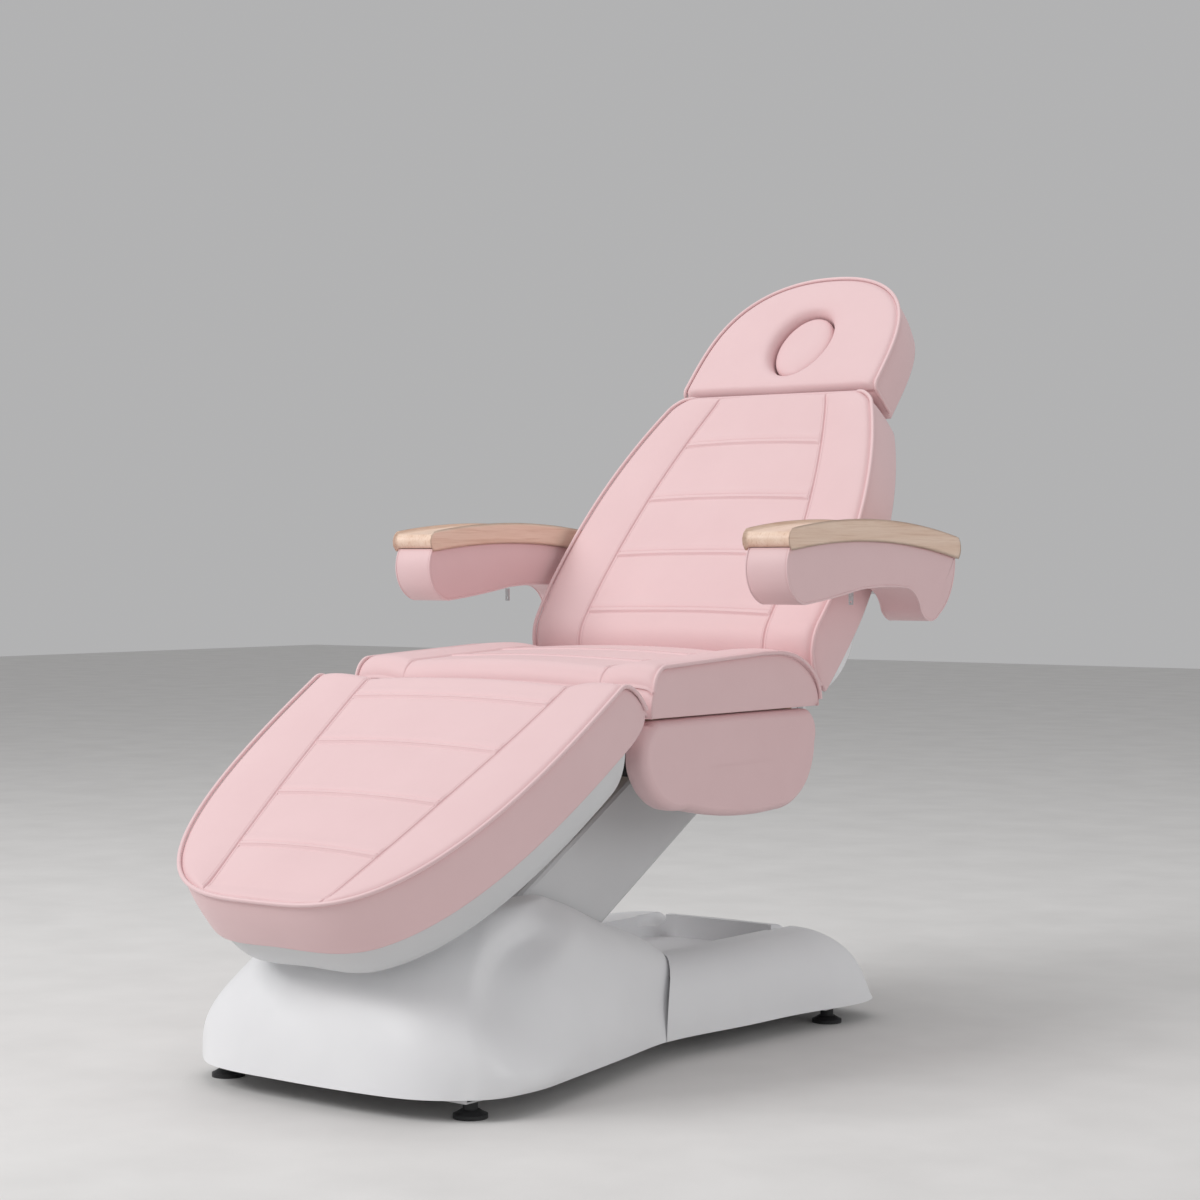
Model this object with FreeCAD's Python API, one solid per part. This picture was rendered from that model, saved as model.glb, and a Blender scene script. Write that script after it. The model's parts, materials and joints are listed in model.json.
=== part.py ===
import FreeCAD, Part
import math
import os

Vector = FreeCAD.Vector

# Electric beauty bed: a base with a lift arm, and a seat that carries a leg rest, a backrest with
# two armrests, and a headrest with a face hole. Millimetres. X runs across the bed, Y from the foot
# end to the head end, Z up from the floor. Pieces are drawn with Y = 0 at the front edge of the seat
# top, and move at the end so that Y = 0 is the middle of the bed's length.

# Driving dimensions
SEAT_HALF = 300  # half the seat's width
SEAT_FRONT = 77
SEAT_REAR = 541
SEAT_LOW = 545  # underside of the seat cushion
SEAT_TOP = 639  # edge of the seat cushion's top at its highest
LEG_LENGTH = 546
LEG_HALF = 306
BACK_LENGTH = 487
BACK_HALF = 300
HEAD_LENGTH = 272
HEAD_HALF = 204
CENTRE_Y = 330.5  # middle of the whole length in the drawing's own Y

# Angles of the panels at rest, in degrees from level
LEG_DROP = 33
BACK_RISE = 52.3
HEAD_RISE = 48.5
ARM_RISE = 30

# Places that the panels are laid out from, as (Y, Z)
LEG_ORIGIN = (0, 597)
BACK_ORIGIN = (565, 699)
HEAD_ORIGIN = (880, 1105)

# Pivots, as (Y, Z)
LIFT_PIVOT = (-30, 135)
LINK_OFFSET = (-35.4, 54.5)  # from an arm pivot to the link pivot above it
ARM_LENGTH = 600
LEG_PIVOT = (62, 528)
BACK_PIVOT = (575, 540)
LIFT_ACTUATOR_PIVOT = (150, 67)
LIFT_EYE = (250, 20)  # along and above the lift arm's axis
HEAD_PIVOT = (520, -112)  # along and above the backrest's face
ARMREST_PIVOT = (152, -129)  # along and above the backrest's face

# Fits
RUNNING = 0.05  # radial clearance of a pin in its bore
CLEAR = 0.6  # gap between covers that meet

# Frame tubes and plates
TUBE_WALL = 2.5
RAIL_LOW = 24
RAIL_HIGH = 54
COVER_WALL = 4
SHELL_WALL = 3
BOARD = 12

nodes = {}


def block(x0, x1, y0, y1, z0, z1):
    return Part.makeBox(x1 - x0, y1 - y0, z1 - z0, Vector(x0, y0, z0))


def cross_rod(radius, x0, x1, place):
    return Part.makeCylinder(radius, x1 - x0, Vector(x0, place[0], place[1]), Vector(1, 0, 0))


def rod(radius, x, start, end):
    run = Vector(0, end[0] - start[0], end[1] - start[1])
    return Part.makeCylinder(radius, run.Length, Vector(x, start[0], start[1]), run)


def plate(outline, x0, x1):
    corners = [Vector(x0, y, z) for y, z in outline]
    face = Part.Face(Part.makePolygon(corners + corners[:1]))
    return face.extrude(Vector(x1 - x0, 0, 0))


def box_tube(x0, x1, y0, y1, z0, z1, along):
    """A rectangular tube, open at both ends of the axis it runs along."""
    outer = block(x0, x1, y0, y1, z0, z1)
    wall = {axis: 0 if axis == along else TUBE_WALL for axis in "xyz"}
    inner = block(
        x0 + wall["x"], x1 - wall["x"], y0 + wall["y"], y1 - wall["y"], z0 + wall["z"], z1 - wall["z"]
    )
    return outer.cut(inner)


def mirrored(shape):
    return shape.mirror(Vector(0, 0, 0), Vector(1, 0, 0))


def both_sides(shape):
    return Part.makeCompound([shape, mirrored(shape)])


def laid(shape, origin, degrees):
    """Turns a piece drawn level by an angle about X, and moves its origin into place."""
    moved = shape.copy()
    moved.rotate(Vector(0, 0, 0), Vector(1, 0, 0), degrees)
    moved.translate(Vector(0, origin[0], origin[1]))
    return moved


def laid_point(point, origin, degrees):
    turn = math.radians(degrees)
    y = origin[0] + point[0] * math.cos(turn) - point[1] * math.sin(turn)
    z = origin[1] + point[0] * math.sin(turn) + point[1] * math.cos(turn)
    return (y, z)


def drawn_point(place, origin, degrees):
    """The point, in the level drawing of a panel, that lands on a place."""
    return laid_point((place[0] - origin[0], place[1] - origin[1]), (0, 0), -degrees)


def on_leg(shape):
    return laid(shape, LEG_ORIGIN, LEG_DROP)


def on_back(shape):
    return laid(shape, BACK_ORIGIN, BACK_RISE)


def on_head(shape):
    return laid(shape, HEAD_ORIGIN, HEAD_RISE)


def on_arm(shape):
    return laid(shape, LIFT_PIVOT, ARM_RISE)


def solids(*shapes):
    return Part.makeCompound([s for shape in shapes for s in shape.Solids])


# Cushions, as lofts through sections of one line and five arcs

SIDE_SWELL = 3  # how far a cushion's side stands out between its two edges
CHANNEL_HALF = 9  # half the width of a sewn channel
CHANNEL_CROWN = 2  # crown left in the middle of a channel


def arc(start, middle, end):
    """An arc through three points, or the line where they lie in a row."""
    if (middle - start).cross(end - start).Length < 1e-6:
        return Part.LineSegment(start, end).toShape()
    return Part.Arc(start, middle, end).toShape()


def cushion_section(y, half, edge, low, inset, roll, crown, seam, dip):
    """A cushion across its width: flat underside, sides drawn in to it, side rolls and crowned middle.

    edge is the height of the piped edge, and the two lengthwise seams lie dip below it.
    """

    def at(x, z):
        return Vector(x, y, z)

    base = half - inset
    middle = (edge + low) / 2
    side = half - inset / 2 + SIDE_SWELL
    roll_x = (half + seam) / 2
    roll_z = edge - dip / 2 + roll
    seam_z = edge - dip
    return Part.Wire(
        [
            Part.LineSegment(at(-base, low), at(base, low)).toShape(),
            arc(at(base, low), at(side, middle), at(half, edge)),
            arc(at(half, edge), at(roll_x, roll_z), at(seam, seam_z)),
            arc(at(seam, seam_z), at(0, seam_z + crown), at(-seam, seam_z)),
            arc(at(-seam, seam_z), at(-roll_x, roll_z), at(-half, edge)),
            arc(at(-half, edge), at(-side, middle), at(-base, low)),
        ]
    )


def end_drop(distance, length, height):
    """How far a rounded end falls below the level run, at a distance from its tip."""
    if distance >= length:
        return 0
    share = (length - max(distance, 0)) / length
    return height * (1 - math.sqrt(1 - share * share))


def with_channels(places, channels):
    """Adds a station before, in and after each cross channel."""
    steps = (-CHANNEL_HALF, 0, CHANNEL_HALF)
    return sorted(set(places) | {c + step for c in channels for step in steps})


def loft(sections):
    """A solid with straight runs from each section to the next."""
    return Part.makeLoft(sections, True, True)


def smooth_loft(sections):
    return Part.makeLoft(sections, True, False)


LEG_CHANNELS = (47, 166, 294, 418)
LEG_LOW = -88
LEG_EDGE = 8
LEG_TAPER_POWER = 2.7  # how late along its length the leg rest draws in
LEG_TIP_POWER = 3.2  # how square its foot end is: two would be an ellipse
LEG_REAR = -22  # the hinge end of the leg cushion


def leg_half(u):
    """Half the leg rest's width at a distance from the hinge end: tapered, with a rounded tip."""
    share = max(u, 0) / LEG_LENGTH
    return LEG_HALF * (1 - share**LEG_TAPER_POWER) ** (1 / LEG_TIP_POWER)


def leg_seam(u):
    return min(202 - 84 * (max(u, 0) / 523) ** 1.35, 0.62 * leg_half(u))


def leg_cushion():
    sections = []
    ends = (LEG_REAR, -19, -12, 2, 20, 34)
    tip = (455, 480, 503, 520, 531, 538, 542.5, 545)
    for u in with_channels(ends + tip, LEG_CHANNELS):
        from_rear = u - LEG_REAR
        edge = LEG_EDGE - end_drop(from_rear, 34, 62)
        low = LEG_LOW + end_drop(from_rear, 56, 18) + end_drop(LEG_LENGTH - u, 30, 10)
        crown = CHANNEL_CROWN if u in LEG_CHANNELS else 9
        half = leg_half(u)
        fade = max(0.3, min(1, (LEG_LENGTH - u) / 60))  # the channels run out towards the tip
        seam = leg_seam(u)
        sections.append(cushion_section(-u, half, edge, low, 7, 5 * fade, crown * fade, seam, 6 * fade))
    return loft(sections)


SEAT_CHANNELS = (200, 330)


def seat_cushion():
    sections = []
    front = (SEAT_FRONT, SEAT_FRONT + 4, SEAT_FRONT + 12, SEAT_FRONT + 30)
    rear = tuple(SEAT_REAR - d for d in (0, 4, 12, 28, 50, 85, 130))
    for y in with_channels(front + rear, SEAT_CHANNELS):
        fall = 13 * max(0, (374 - y) / 271)
        drop = end_drop(y - SEAT_FRONT, 30, 36) + end_drop(SEAT_REAR - y, 130, 80)
        crown = CHANNEL_CROWN if y in SEAT_CHANNELS else 8
        edge = SEAT_TOP - fall - drop
        sections.append(cushion_section(y, SEAT_HALF, edge, SEAT_LOW, 6, 5, crown, 200, 4))
    return loft(sections)


BACK_CHANNELS = (0, 125, 250, 376)
BACK_LOW = -90
BACK_REAR = -97  # the hinge end of the backrest cushion
BACK_CORNER = 455  # where the rounded top corners begin
BACK_FLARE = 5  # how much wider the backrest cushion is at its rear face


def back_half(u):
    side = BACK_HALF - 86 * (max(u, 0) / 460) ** 2.5
    if u <= BACK_CORNER:
        return side
    share = (u - BACK_CORNER) / (BACK_LENGTH + 1 - BACK_CORNER)
    return side - 38 * (1 - math.sqrt(1 - share * share))


def back_cushion():
    sections = []
    lower = (BACK_REAR, -94, -86, -72, -50, -22)
    upper = (BACK_CORNER, 470, 480, 485, BACK_LENGTH)
    for u in with_channels(lower + upper, BACK_CHANNELS):
        edge = 8 - end_drop(u - BACK_REAR, 75, 78) - end_drop(BACK_LENGTH - u, 10, 8)
        crown = CHANNEL_CROWN if u in BACK_CHANNELS else 9
        seam = 194 - 82 * (max(u, 0) / BACK_LENGTH) ** 2
        sections.append(cushion_section(u, back_half(u), edge, BACK_LOW, -BACK_FLARE, 5, crown, seam, 6))
    return loft(sections)


HEAD_LOW = -85
HEAD_REAR = -16  # the neck end of the headrest cushion
HEAD_TAPER_POWER = 3.2  # how late along its length the headrest draws in
HEAD_CROWN_POWER = 2.2  # how square its crown is
HOLE_CENTRE = 108
HOLE_HALF_X = 59
HOLE_HALF_Y = 80
PLUG_GAP = 4
# Heights through the face hole, each with how far the hole has opened out there
HOLE_LEVELS = ((HEAD_LOW - 5, 0), (-12, 0), (-4, 2.5), (1, 7), (5, 14), (9, 26), (14, 48))


def head_half(u):
    """Half the headrest's width at a distance from its neck: nearly even, with a rounded crown."""
    share = max(u, 0) / HEAD_LENGTH
    return HEAD_HALF * (1 - share**HEAD_TAPER_POWER) ** (1 / HEAD_CROWN_POWER)


def oval(half_x, half_y, z):
    centre = Vector(0, HOLE_CENTRE, z)
    edge = Part.Ellipse(centre + Vector(0, half_y, 0), centre + Vector(half_x, 0, 0), centre)
    return Part.Wire([edge.toShape()])


def oval_prism(half_x, half_y, z0, z1):
    return Part.Face(oval(half_x, half_y, z0)).extrude(Vector(0, 0, z1 - z0))


def head_cushion():
    sections = []
    neck = (HEAD_REAR, HEAD_REAR + 3, HEAD_REAR + 10, HEAD_REAR + 22)
    crown_end = (140, 175, 205, 228, 245, 257, 265, 269.5, 271.2)
    for u in neck + (50, 100) + crown_end:
        half = head_half(u)
        edge = 4 - end_drop(u - HEAD_REAR, 20, 16)
        low = HEAD_LOW + end_drop(u - HEAD_REAR, 22, 8)
        fade = max(0.2, min(1, (HEAD_LENGTH - u) / 45))  # the face rounds down to its crown
        sections.append(cushion_section(u, half, edge, low, 2, 4 * fade, 2 * fade, half / 2, -5 * fade))
    hole = loft([oval(HOLE_HALF_X + opened, HOLE_HALF_Y + opened, z) for z, opened in HOLE_LEVELS])
    return loft(sections).cut(hole)


def face_plug():
    """The oval plug: straight below, drawn in to a crowned top."""
    half_x = HOLE_HALF_X - PLUG_GAP
    half_y = HOLE_HALF_Y - PLUG_GAP
    levels = ((-58, 3), (-52, 0), (-14, 0), (-8, 4), (-4, 14), (-2, 32))
    return loft([oval(half_x - inset, half_y - inset, z) for z, inset in levels])


# Padded and wooden pieces drawn in side view, lofted across their width


def side_wire(x, path, inset):
    """A closed outline in side view. path lists (Y, Z, out Y, out Z): corners and, between, arc middles."""
    points = [Vector(x, y - out_y * inset, z - out_z * inset) for y, z, out_y, out_z in path]
    count = len(points)
    return Part.Wire([arc(points[i], points[i + 1], points[(i + 2) % count]) for i in range(0, count, 2)])


def padded_panel(path, levels):
    return loft([side_wire(x, path, inset) for x, inset in levels])


ARM_INNER = 325
ARM_OUTER = 405
ARM_PAD_PATH = (
    (294, 804, -0.7, 0.7),
    (288, 756, -1, 0),
    (336, 715, -0.3, -1),
    (415, 724, 0.1, -1),
    (500, 737, 0, -1),
    (580, 741, 0, -1),
    (645, 739, 0.1, -1),
    (676, 727, -0.6, -0.8),
    (694, 700, -0.7, -0.7),
    (722, 683, 0, -1),
    (756, 694, 0.6, -0.8),
    (792, 728, 0.9, -0.5),
    (808, 791, 0.7, 0.7),
    (545, 819, 0, 1),
)
ARM_WOOD_PATH = (
    (294, 805.5, -0.7, -0.7),
    (289, 816, -1, 0),
    (296, 829, -0.7, 0.7),
    (555, 845, 0, 1),
    (810, 818, 0.7, 0.7),
    (815, 805, 1, 0),
    (811, 792.5, 0.7, -0.7),
    (545, 820.5, 0, -1),
)
SIDE_PAD_PATH = (
    (100, 541, -0.7, 0.7),
    (68, 512, -1, 0.2),
    (66, 462, -1, -0.3),
    (96, 424, -0.6, -0.8),
    (175, 401, -0.2, -1),
    (300, 382, -0.1, -1),
    (430, 382, 0, -1),
    (510, 414, 0.7, -0.7),
    (541, 485, 1, -0.1),
    (541, 520, 1, 0.3),
    (522, 541, 0.6, 0.8),
    (300, 542, 0, 1),
)


def armrest():
    """The right armrest: steel core with a hub for the pivot, padded body and wooden top."""
    pivot = laid_point(ARMREST_PIVOT, BACK_ORIGIN, BACK_RISE)
    bar = block(352, 378, 330, 772, 762, 782)
    web = plate(((735, 782), (775, 782), (775, 735), (745, 735)), 352, 364)
    hub = cross_rod(16, ARM_INNER + 2, 364, pivot)
    core = bar.fuse(web).fuse(hub).cut(cross_rod(8 + RUNNING, ARM_INNER, 400, pivot))
    levels = ((ARM_INNER, 9), (ARM_INNER + 7, 0), (ARM_OUTER - 7, 0), (ARM_OUTER, 9))
    body = padded_panel(ARM_PAD_PATH, levels)
    body = body.cut(core).cut(cross_rod(16, ARM_INNER - 5, 364, pivot))
    wood = padded_panel(
        ARM_WOOD_PATH, ((ARM_INNER - 3, 6), (ARM_INNER + 4, 0), (ARM_OUTER - 4, 0), (ARM_OUTER + 3, 6))
    )
    return {"armrest_core": core, "armrest_pad": body, "armrest_wood": wood}


ZIP_X = 362
ZIP_TOP = (540, 736)  # where the pull hangs from its slider


def zip_pull():
    """A flat tab with a hole, hanging under the armrest."""
    low = ZIP_TOP[1] - 24
    tab = block(ZIP_X - 4, ZIP_X + 4, ZIP_TOP[0] - 1, ZIP_TOP[0] + 1, low, ZIP_TOP[1] - 2)
    hole = Part.makeCylinder(2, 10, Vector(ZIP_X, ZIP_TOP[0] - 5, low + 5), Vector(0, 1, 0))
    return tab.cut(hole)


# Base covers, as lofts through level slices

# Each slice lists its right half as (X, Y), from the middle of the front to the middle of the rear.
# On the front cover the fifth and sixth points are the crest of the hood's rib, the eighth its valley.
FRONT_SLICES = (
    (
        32,
        (
            (0, -367), (110, -364), (190, -353), (235, -332), (262, -310),
            (269, -304), (283, -286), (297, -237), (299, -185), (291, -130),
            (275, -40), (251, 90), (231, 200), (205, 330), (0, 400),
        ),
    ),
    (
        92,
        (
            (0, -354), (105, -350), (183, -340), (230, -322), (258, -304),
            (264, -299), (275, -282), (282, -232), (282, -180), (278, -128),
            (265, -32), (242, 95), (216, 200), (190, 325), (0, 398),
        ),
    ),
    (
        145,
        (
            (0, -334), (95, -330), (162, -320), (204, -304), (230, -285),
            (235, -279), (239, -262), (234, -218), (241, -172), (250, -125),
            (249, -45), (225, 95), (199, 195), (168, 300), (0, 370),
        ),
    ),
    (
        188,
        (
            (0, -308), (86, -304), (140, -295), (181, -274), (206, -249),
            (210, -243), (213, -226), (200, -180), (209, -136), (224, -92),
            (228, -34), (205, 86), (179, 167), (132, 249), (0, 305),
        ),
    ),
    (
        220,
        (
            (0, -277), (77, -273), (125, -265), (164, -243), (188, -216),
            (192, -210), (196, -193), (182, -135), (181, -90), (196, -48),
            (203, 0), (182, 68), (155, 126), (103, 182), (0, 217),
        ),
    ),
    (
        244,
        (
            (0, -243), (68, -239), (112, -231), (147, -210), (171, -181),
            (175, -175), (180, -158), (177, -105), (174, -65), (177, -28),
            (176, 6), (160, 54), (136, 95), (85, 140), (0, 162),
        ),
    ),
    (
        262,
        (
            (0, -205), (61, -201), (100, -193), (131, -171), (154, -143),
            (158, -137), (163, -121), (165, -78), (163, -48), (160, -20),
            (153, 8), (138, 40), (114, 70), (69, 101), (0, 118),
        ),
    ),
    (
        273,
        (
            (0, -143), (48, -140), (80, -133), (108, -118), (129, -96),
            (133, -90), (139, -75), (146, -48), (147, -30), (144, -12),
            (138, 6), (122, 25), (97, 45), (57, 59), (0, 66),
        ),
    ),
    (
        279,
        (
            (0, -120), (40, -117), (66, -110), (88, -97), (104, -79),
            (107, -74), (112, -62), (117, -42), (117, -28), (115, -13),
            (110, 2), (98, 17), (77, 33), (45, 44), (0, 50),
        ),
    ),
)
REAR_SLICES = (
    (
        32,
        (
            (0, 110), (150, 110), (222, 145), (231, 210), (250, 400),
            (270, 590), (286, 716), (264, 768), (150, 788), (0, 792),
        ),
    ),
    (
        80,
        (
            (0, 116), (148, 116), (216, 150), (226, 212), (244, 400),
            (263, 590), (275, 704), (252, 750), (146, 769), (0, 773),
        ),
    ),
    (
        118,
        (
            (0, 126), (140, 126), (202, 158), (212, 220), (230, 400),
            (246, 590), (254, 690), (232, 730), (138, 747), (0, 750),
        ),
    ),
    (
        142,
        (
            (0, 140), (128, 140), (178, 172), (188, 232), (204, 400),
            (217, 590), (222, 674), (200, 708), (122, 722), (0, 725),
        ),
    ),
    (
        151,
        (
            (0, 155), (104, 155), (144, 190), (154, 246), (170, 400),
            (182, 590), (186, 654), (168, 686), (104, 698), (0, 701),
        ),
    ),
)


def slice_ring(half_points):
    """All points round a slice, from its right half."""
    return list(half_points) + [(-x, y) for x, y in half_points[-2:0:-1]]


def slice_spacing(slices):
    """One spacing of the points for every slice, so that a rib runs on from slice to slice."""
    rings = [slice_ring(points) for z, points in slices]
    places = [0]
    for i in range(len(rings[0])):
        places.append(places[-1] + sum(math.dist(ring[i - 1], ring[i]) for ring in rings))
    return places


def slice_wire(half_points, z, inset, spacing):
    ring = slice_ring(half_points)
    points = []
    for i, (x, y) in enumerate(ring):
        ahead = ring[(i + 1) % len(ring)]
        behind = ring[i - 1]
        run = Vector(ahead[0] - behind[0], ahead[1] - behind[1], 0)
        points.append(Vector(x - run.y / run.Length * inset, y + run.x / run.Length * inset, z))
    curve = Part.BSplineCurve()
    curve.interpolate(Points=points[-1:] + points[:-1], PeriodicFlag=True, Parameters=spacing)
    return Part.Wire([curve.toShape()])


def hill(slices):
    spacing = slice_spacing(slices)
    return smooth_loft([slice_wire(points, z, 0, spacing) for z, points in slices])


def hollow(slices):
    """The space under a cover: the same hill, one wall thickness in, open below."""
    spacing = slice_spacing(slices)
    wires = []
    for i, (z, points) in enumerate(slices):
        level = z - 6 if i == 0 else z - COVER_WALL
        wires.append(slice_wire(points, level, COVER_WALL, spacing))
    return smooth_loft(wires)


SLOT_HALF = 126  # half the width of the opening for the lift arm
SLOT_FRONT = -84
SEAM_CENTRE = 105  # the joint between the covers is round in plan
SEAM_RADIUS = 253
TRAY_HALF = 136
TRAY_REAR = 688
TRAY_FLOOR = 112
TRAY_CORNER = 45
NOTCH_X = 128
NOTCH_RADIUS = 16
NOTCH_HEIGHT = 146


def seam_disc(radius):
    disc = Part.makeCylinder(radius, 400, Vector(0, SEAM_CENTRE, 0))
    return disc.fuse(block(-400, 400, -500, SEAM_CENTRE, 0, 400))


def tray(grow):
    """The recess in the rear cover that the lift arm works over."""
    half = TRAY_HALF + grow
    rear = TRAY_REAR + grow
    body = block(-half, half, 60, rear, TRAY_FLOOR - grow, 260)
    rear_edges = [edge for edge in body.Edges if edge.CenterOfMass.y > rear - 1]
    upright = [edge for edge in rear_edges if abs(edge.tangentAt(edge.FirstParameter).z) > 0.99]
    return body.makeFillet(TRAY_CORNER, upright)


def front_base_cover():
    shell = hill(FRONT_SLICES).cut(hollow(FRONT_SLICES))
    shell = shell.cut(block(-SLOT_HALF, SLOT_HALF, SLOT_FRONT, 500, 60, 400))
    return shell.common(seam_disc(SEAM_RADIUS))


def notches(grow):
    """Two round dips in the deck, behind the tray's corners."""
    cuts = []
    for side in (-1, 1):
        start = Vector(side * NOTCH_X, TRAY_REAR - 60, NOTCH_HEIGHT)
        cuts.append(Part.makeCylinder(NOTCH_RADIUS + grow, 200, start, Vector(0, 1, 0)))
    return cuts[0].fuse(cuts[1])


def rear_hollow():
    return hollow(REAR_SLICES).cut(tray(COVER_WALL)).cut(notches(COVER_WALL))


def rear_base_cover():
    shell = hill(REAR_SLICES).cut(tray(0)).cut(notches(0)).cut(rear_hollow())
    shell = shell.cut(seam_disc(SEAM_RADIUS + CLEAR))
    return shell.cut(block(-INLET_HALF, INLET_HALF, 700, 820, INLET_LOW, INLET_HIGH))


INLET_HALF = 24
INLET_LOW = 56
INLET_HIGH = 88


def mains_inlet():
    body = block(-INLET_HALF, INLET_HALF, 738, 776, INLET_LOW, INLET_HIGH)
    recess = block(-INLET_HALF + 5, INLET_HALF - 5, 758, 780, INLET_LOW + 5, INLET_HIGH - 5)
    pins = [block(x - 1, x + 1, 758, 772, z - 3, z + 3) for x, z in ((-9, 72), (0, 67), (9, 72))]
    for pin in pins:
        recess = recess.cut(pin)
    return body.cut(recess)


def cover_brackets():
    """Flat bars from the side rails to the insides of the covers."""
    front_space = hollow(FRONT_SLICES).common(seam_disc(SEAM_RADIUS))
    rear_space = rear_hollow().cut(seam_disc(SEAM_RADIUS + CLEAR))
    bars = []
    for y, space in ((-210, front_space), (40, front_space), (420, rear_space), (610, rear_space)):
        for side in (-1, 1):
            x0, x1 = sorted((side * RAIL_INNER, side * 340))
            bar = block(x0, x1, y - 15, y + 15, RAIL_HIGH, RAIL_HIGH + 4)
            bars.append(bar.common(space))
    return solids(*bars)


RAIL_INNER = 122
RAIL_OUTER = 180
FRONT_FOOT_Y = -277
REAR_FOOT_Y = 660
FOOT_X = 241
CROSS_HALF = 254
CROSS_DEPTH = 25  # half the depth of the front and rear cross tubes


def base_rails():
    start = FRONT_FOOT_Y + CROSS_DEPTH
    end = REAR_FOOT_Y - CROSS_DEPTH
    return both_sides(box_tube(RAIL_INNER, RAIL_OUTER, start, end, RAIL_LOW, RAIL_HIGH, "y"))


def base_cross_tubes():
    ends = [
        box_tube(-CROSS_HALF, CROSS_HALF, y - CROSS_DEPTH, y + CROSS_DEPTH, RAIL_LOW, RAIL_HIGH, "x")
        for y in (FRONT_FOOT_Y, REAR_FOOT_Y)
    ]
    inner = [
        box_tube(-RAIL_INNER, RAIL_INNER, y0, y1, RAIL_LOW, RAIL_HIGH, "x")
        for y0, y1 in ((-135, -95), (70, 110), (135, 175))
    ]
    studs = foot_studs()
    return solids(*[tube.cut(studs) for tube in ends], *inner)


def foot_places():
    return [(x, y) for x in (-FOOT_X, FOOT_X) for y in (FRONT_FOOT_Y, REAR_FOOT_Y)]


def foot_pads():
    pads = []
    for x, y in foot_places():
        disc = Part.makeCylinder(25, 6, Vector(x, y, 0))
        dome = Part.makeCone(24, 14, 6, Vector(x, y, 6))
        pads.append(disc.fuse(dome))
    return solids(*pads)


def foot_studs():
    """Collars from the pads up to the cross tubes, each with its stud inside the tube."""
    studs = []
    for x, y in foot_places():
        collar = Part.makeCylinder(11, RAIL_LOW - 12, Vector(x, y, 12))
        stud = Part.makeCylinder(5, 22, Vector(x, y, RAIL_LOW))
        studs.append(collar.fuse(stud))
    return solids(*studs)


# Lift arm, towers, links and pins, from the middle of the bed outwards

LINK_X = (48, 58)
TOWER_X = (68, 80)  # the towers below and the carriage plates above
BAR_X = (84, 96)
ARM_COVER_HALF = 118
ARM_COVER_WALL = 4
ARM_PIN = 10
LINK_PIN = 8
BUSH_OUTER = 14
UPPER_PIVOT = laid_point((ARM_LENGTH, 0), LIFT_PIVOT, ARM_RISE)
LOWER_LINK = (LIFT_PIVOT[0] + LINK_OFFSET[0], LIFT_PIVOT[1] + LINK_OFFSET[1])
UPPER_LINK = (UPPER_PIVOT[0] + LINK_OFFSET[0], UPPER_PIVOT[1] + LINK_OFFSET[1])


def pivot_towers():
    outline = ((-135, 54), (110, 54), (110, 76), (8, 160), (-34, 218), (-88, 224), (-108, 190), (-135, 90))
    tower = plate(outline, *TOWER_X)
    tower = tower.cut(cross_rod(ARM_PIN, 60, 90, LIFT_PIVOT)).cut(cross_rod(LINK_PIN, 60, 90, LOWER_LINK))
    return both_sides(tower)


def pivot_pins(arm_place, link_place):
    return solids(cross_rod(ARM_PIN, -102, 102, arm_place), cross_rod(LINK_PIN, -84, 84, link_place))


def lift_arm():
    """Two flat bars joined by round cross tubes, with lugs for the actuator's rod."""
    bar = block(BAR_X[0], BAR_X[1], 0, ARM_LENGTH, -30, 30)
    for place in ((0, 0), (ARM_LENGTH, 0)):
        bar = bar.fuse(cross_rod(30, *BAR_X, place))
    for place in ((0, 0), (ARM_LENGTH, 0)):
        bar = bar.cut(cross_rod(BUSH_OUTER, 80, 100, place))
    cross = [cross_rod(16, -BAR_X[0], BAR_X[0], (s, 6)) for s in (140, 300, 450)]
    lug = plate(((236, 6), (264, 6), (300, 4), (300, 20), (262, 36), (238, 36)), 15, 21)
    lug = lug.cut(cross[1]).cut(cross_rod(6, 10, 25, LIFT_EYE))
    pin = cross_rod(6, -21, 21, LIFT_EYE)
    return on_arm(solids(both_sides(bar.removeSplitter()), *cross, both_sides(lug), pin))


def arm_bushes():
    rings = []
    for place in ((0, 0), (ARM_LENGTH, 0)):
        ring = cross_rod(BUSH_OUTER, *BAR_X, place).cut(cross_rod(ARM_PIN + RUNNING, *BAR_X, place))
        rings.append(both_sides(ring))
    return on_arm(solids(*rings))


ARM_LOW = -48  # underside of the arm cover, below the arm's axis
ARM_HIGH = 112
ARM_COVER_CLOSED = (72, 430)  # along the arm, where the cover is closed on top
ARM_COVER_SLOT = 66  # half the width of the slot under it, for the actuator


ARM_COVER_PATH = (
    (-62, ARM_LOW, -0.7, -0.7),
    (-84, 40, -1, 0.2),
    (0, ARM_HIGH, 0, 1),
    (200, ARM_HIGH, 0, 1),
    (400, ARM_HIGH, 0, 1),
    (520, 90, 0.4, 0.9),
    (610, 38, 0.6, 0.8),
    (642, -6, 1, 0),
    (610, ARM_LOW, 0.2, -1),
    (270, ARM_LOW, 0, -1),
)
ARM_COVER_ROUNDING = ((0, 7), (3, 2.5), (9, 0))  # depth in from a cheek, and inset there


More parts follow.
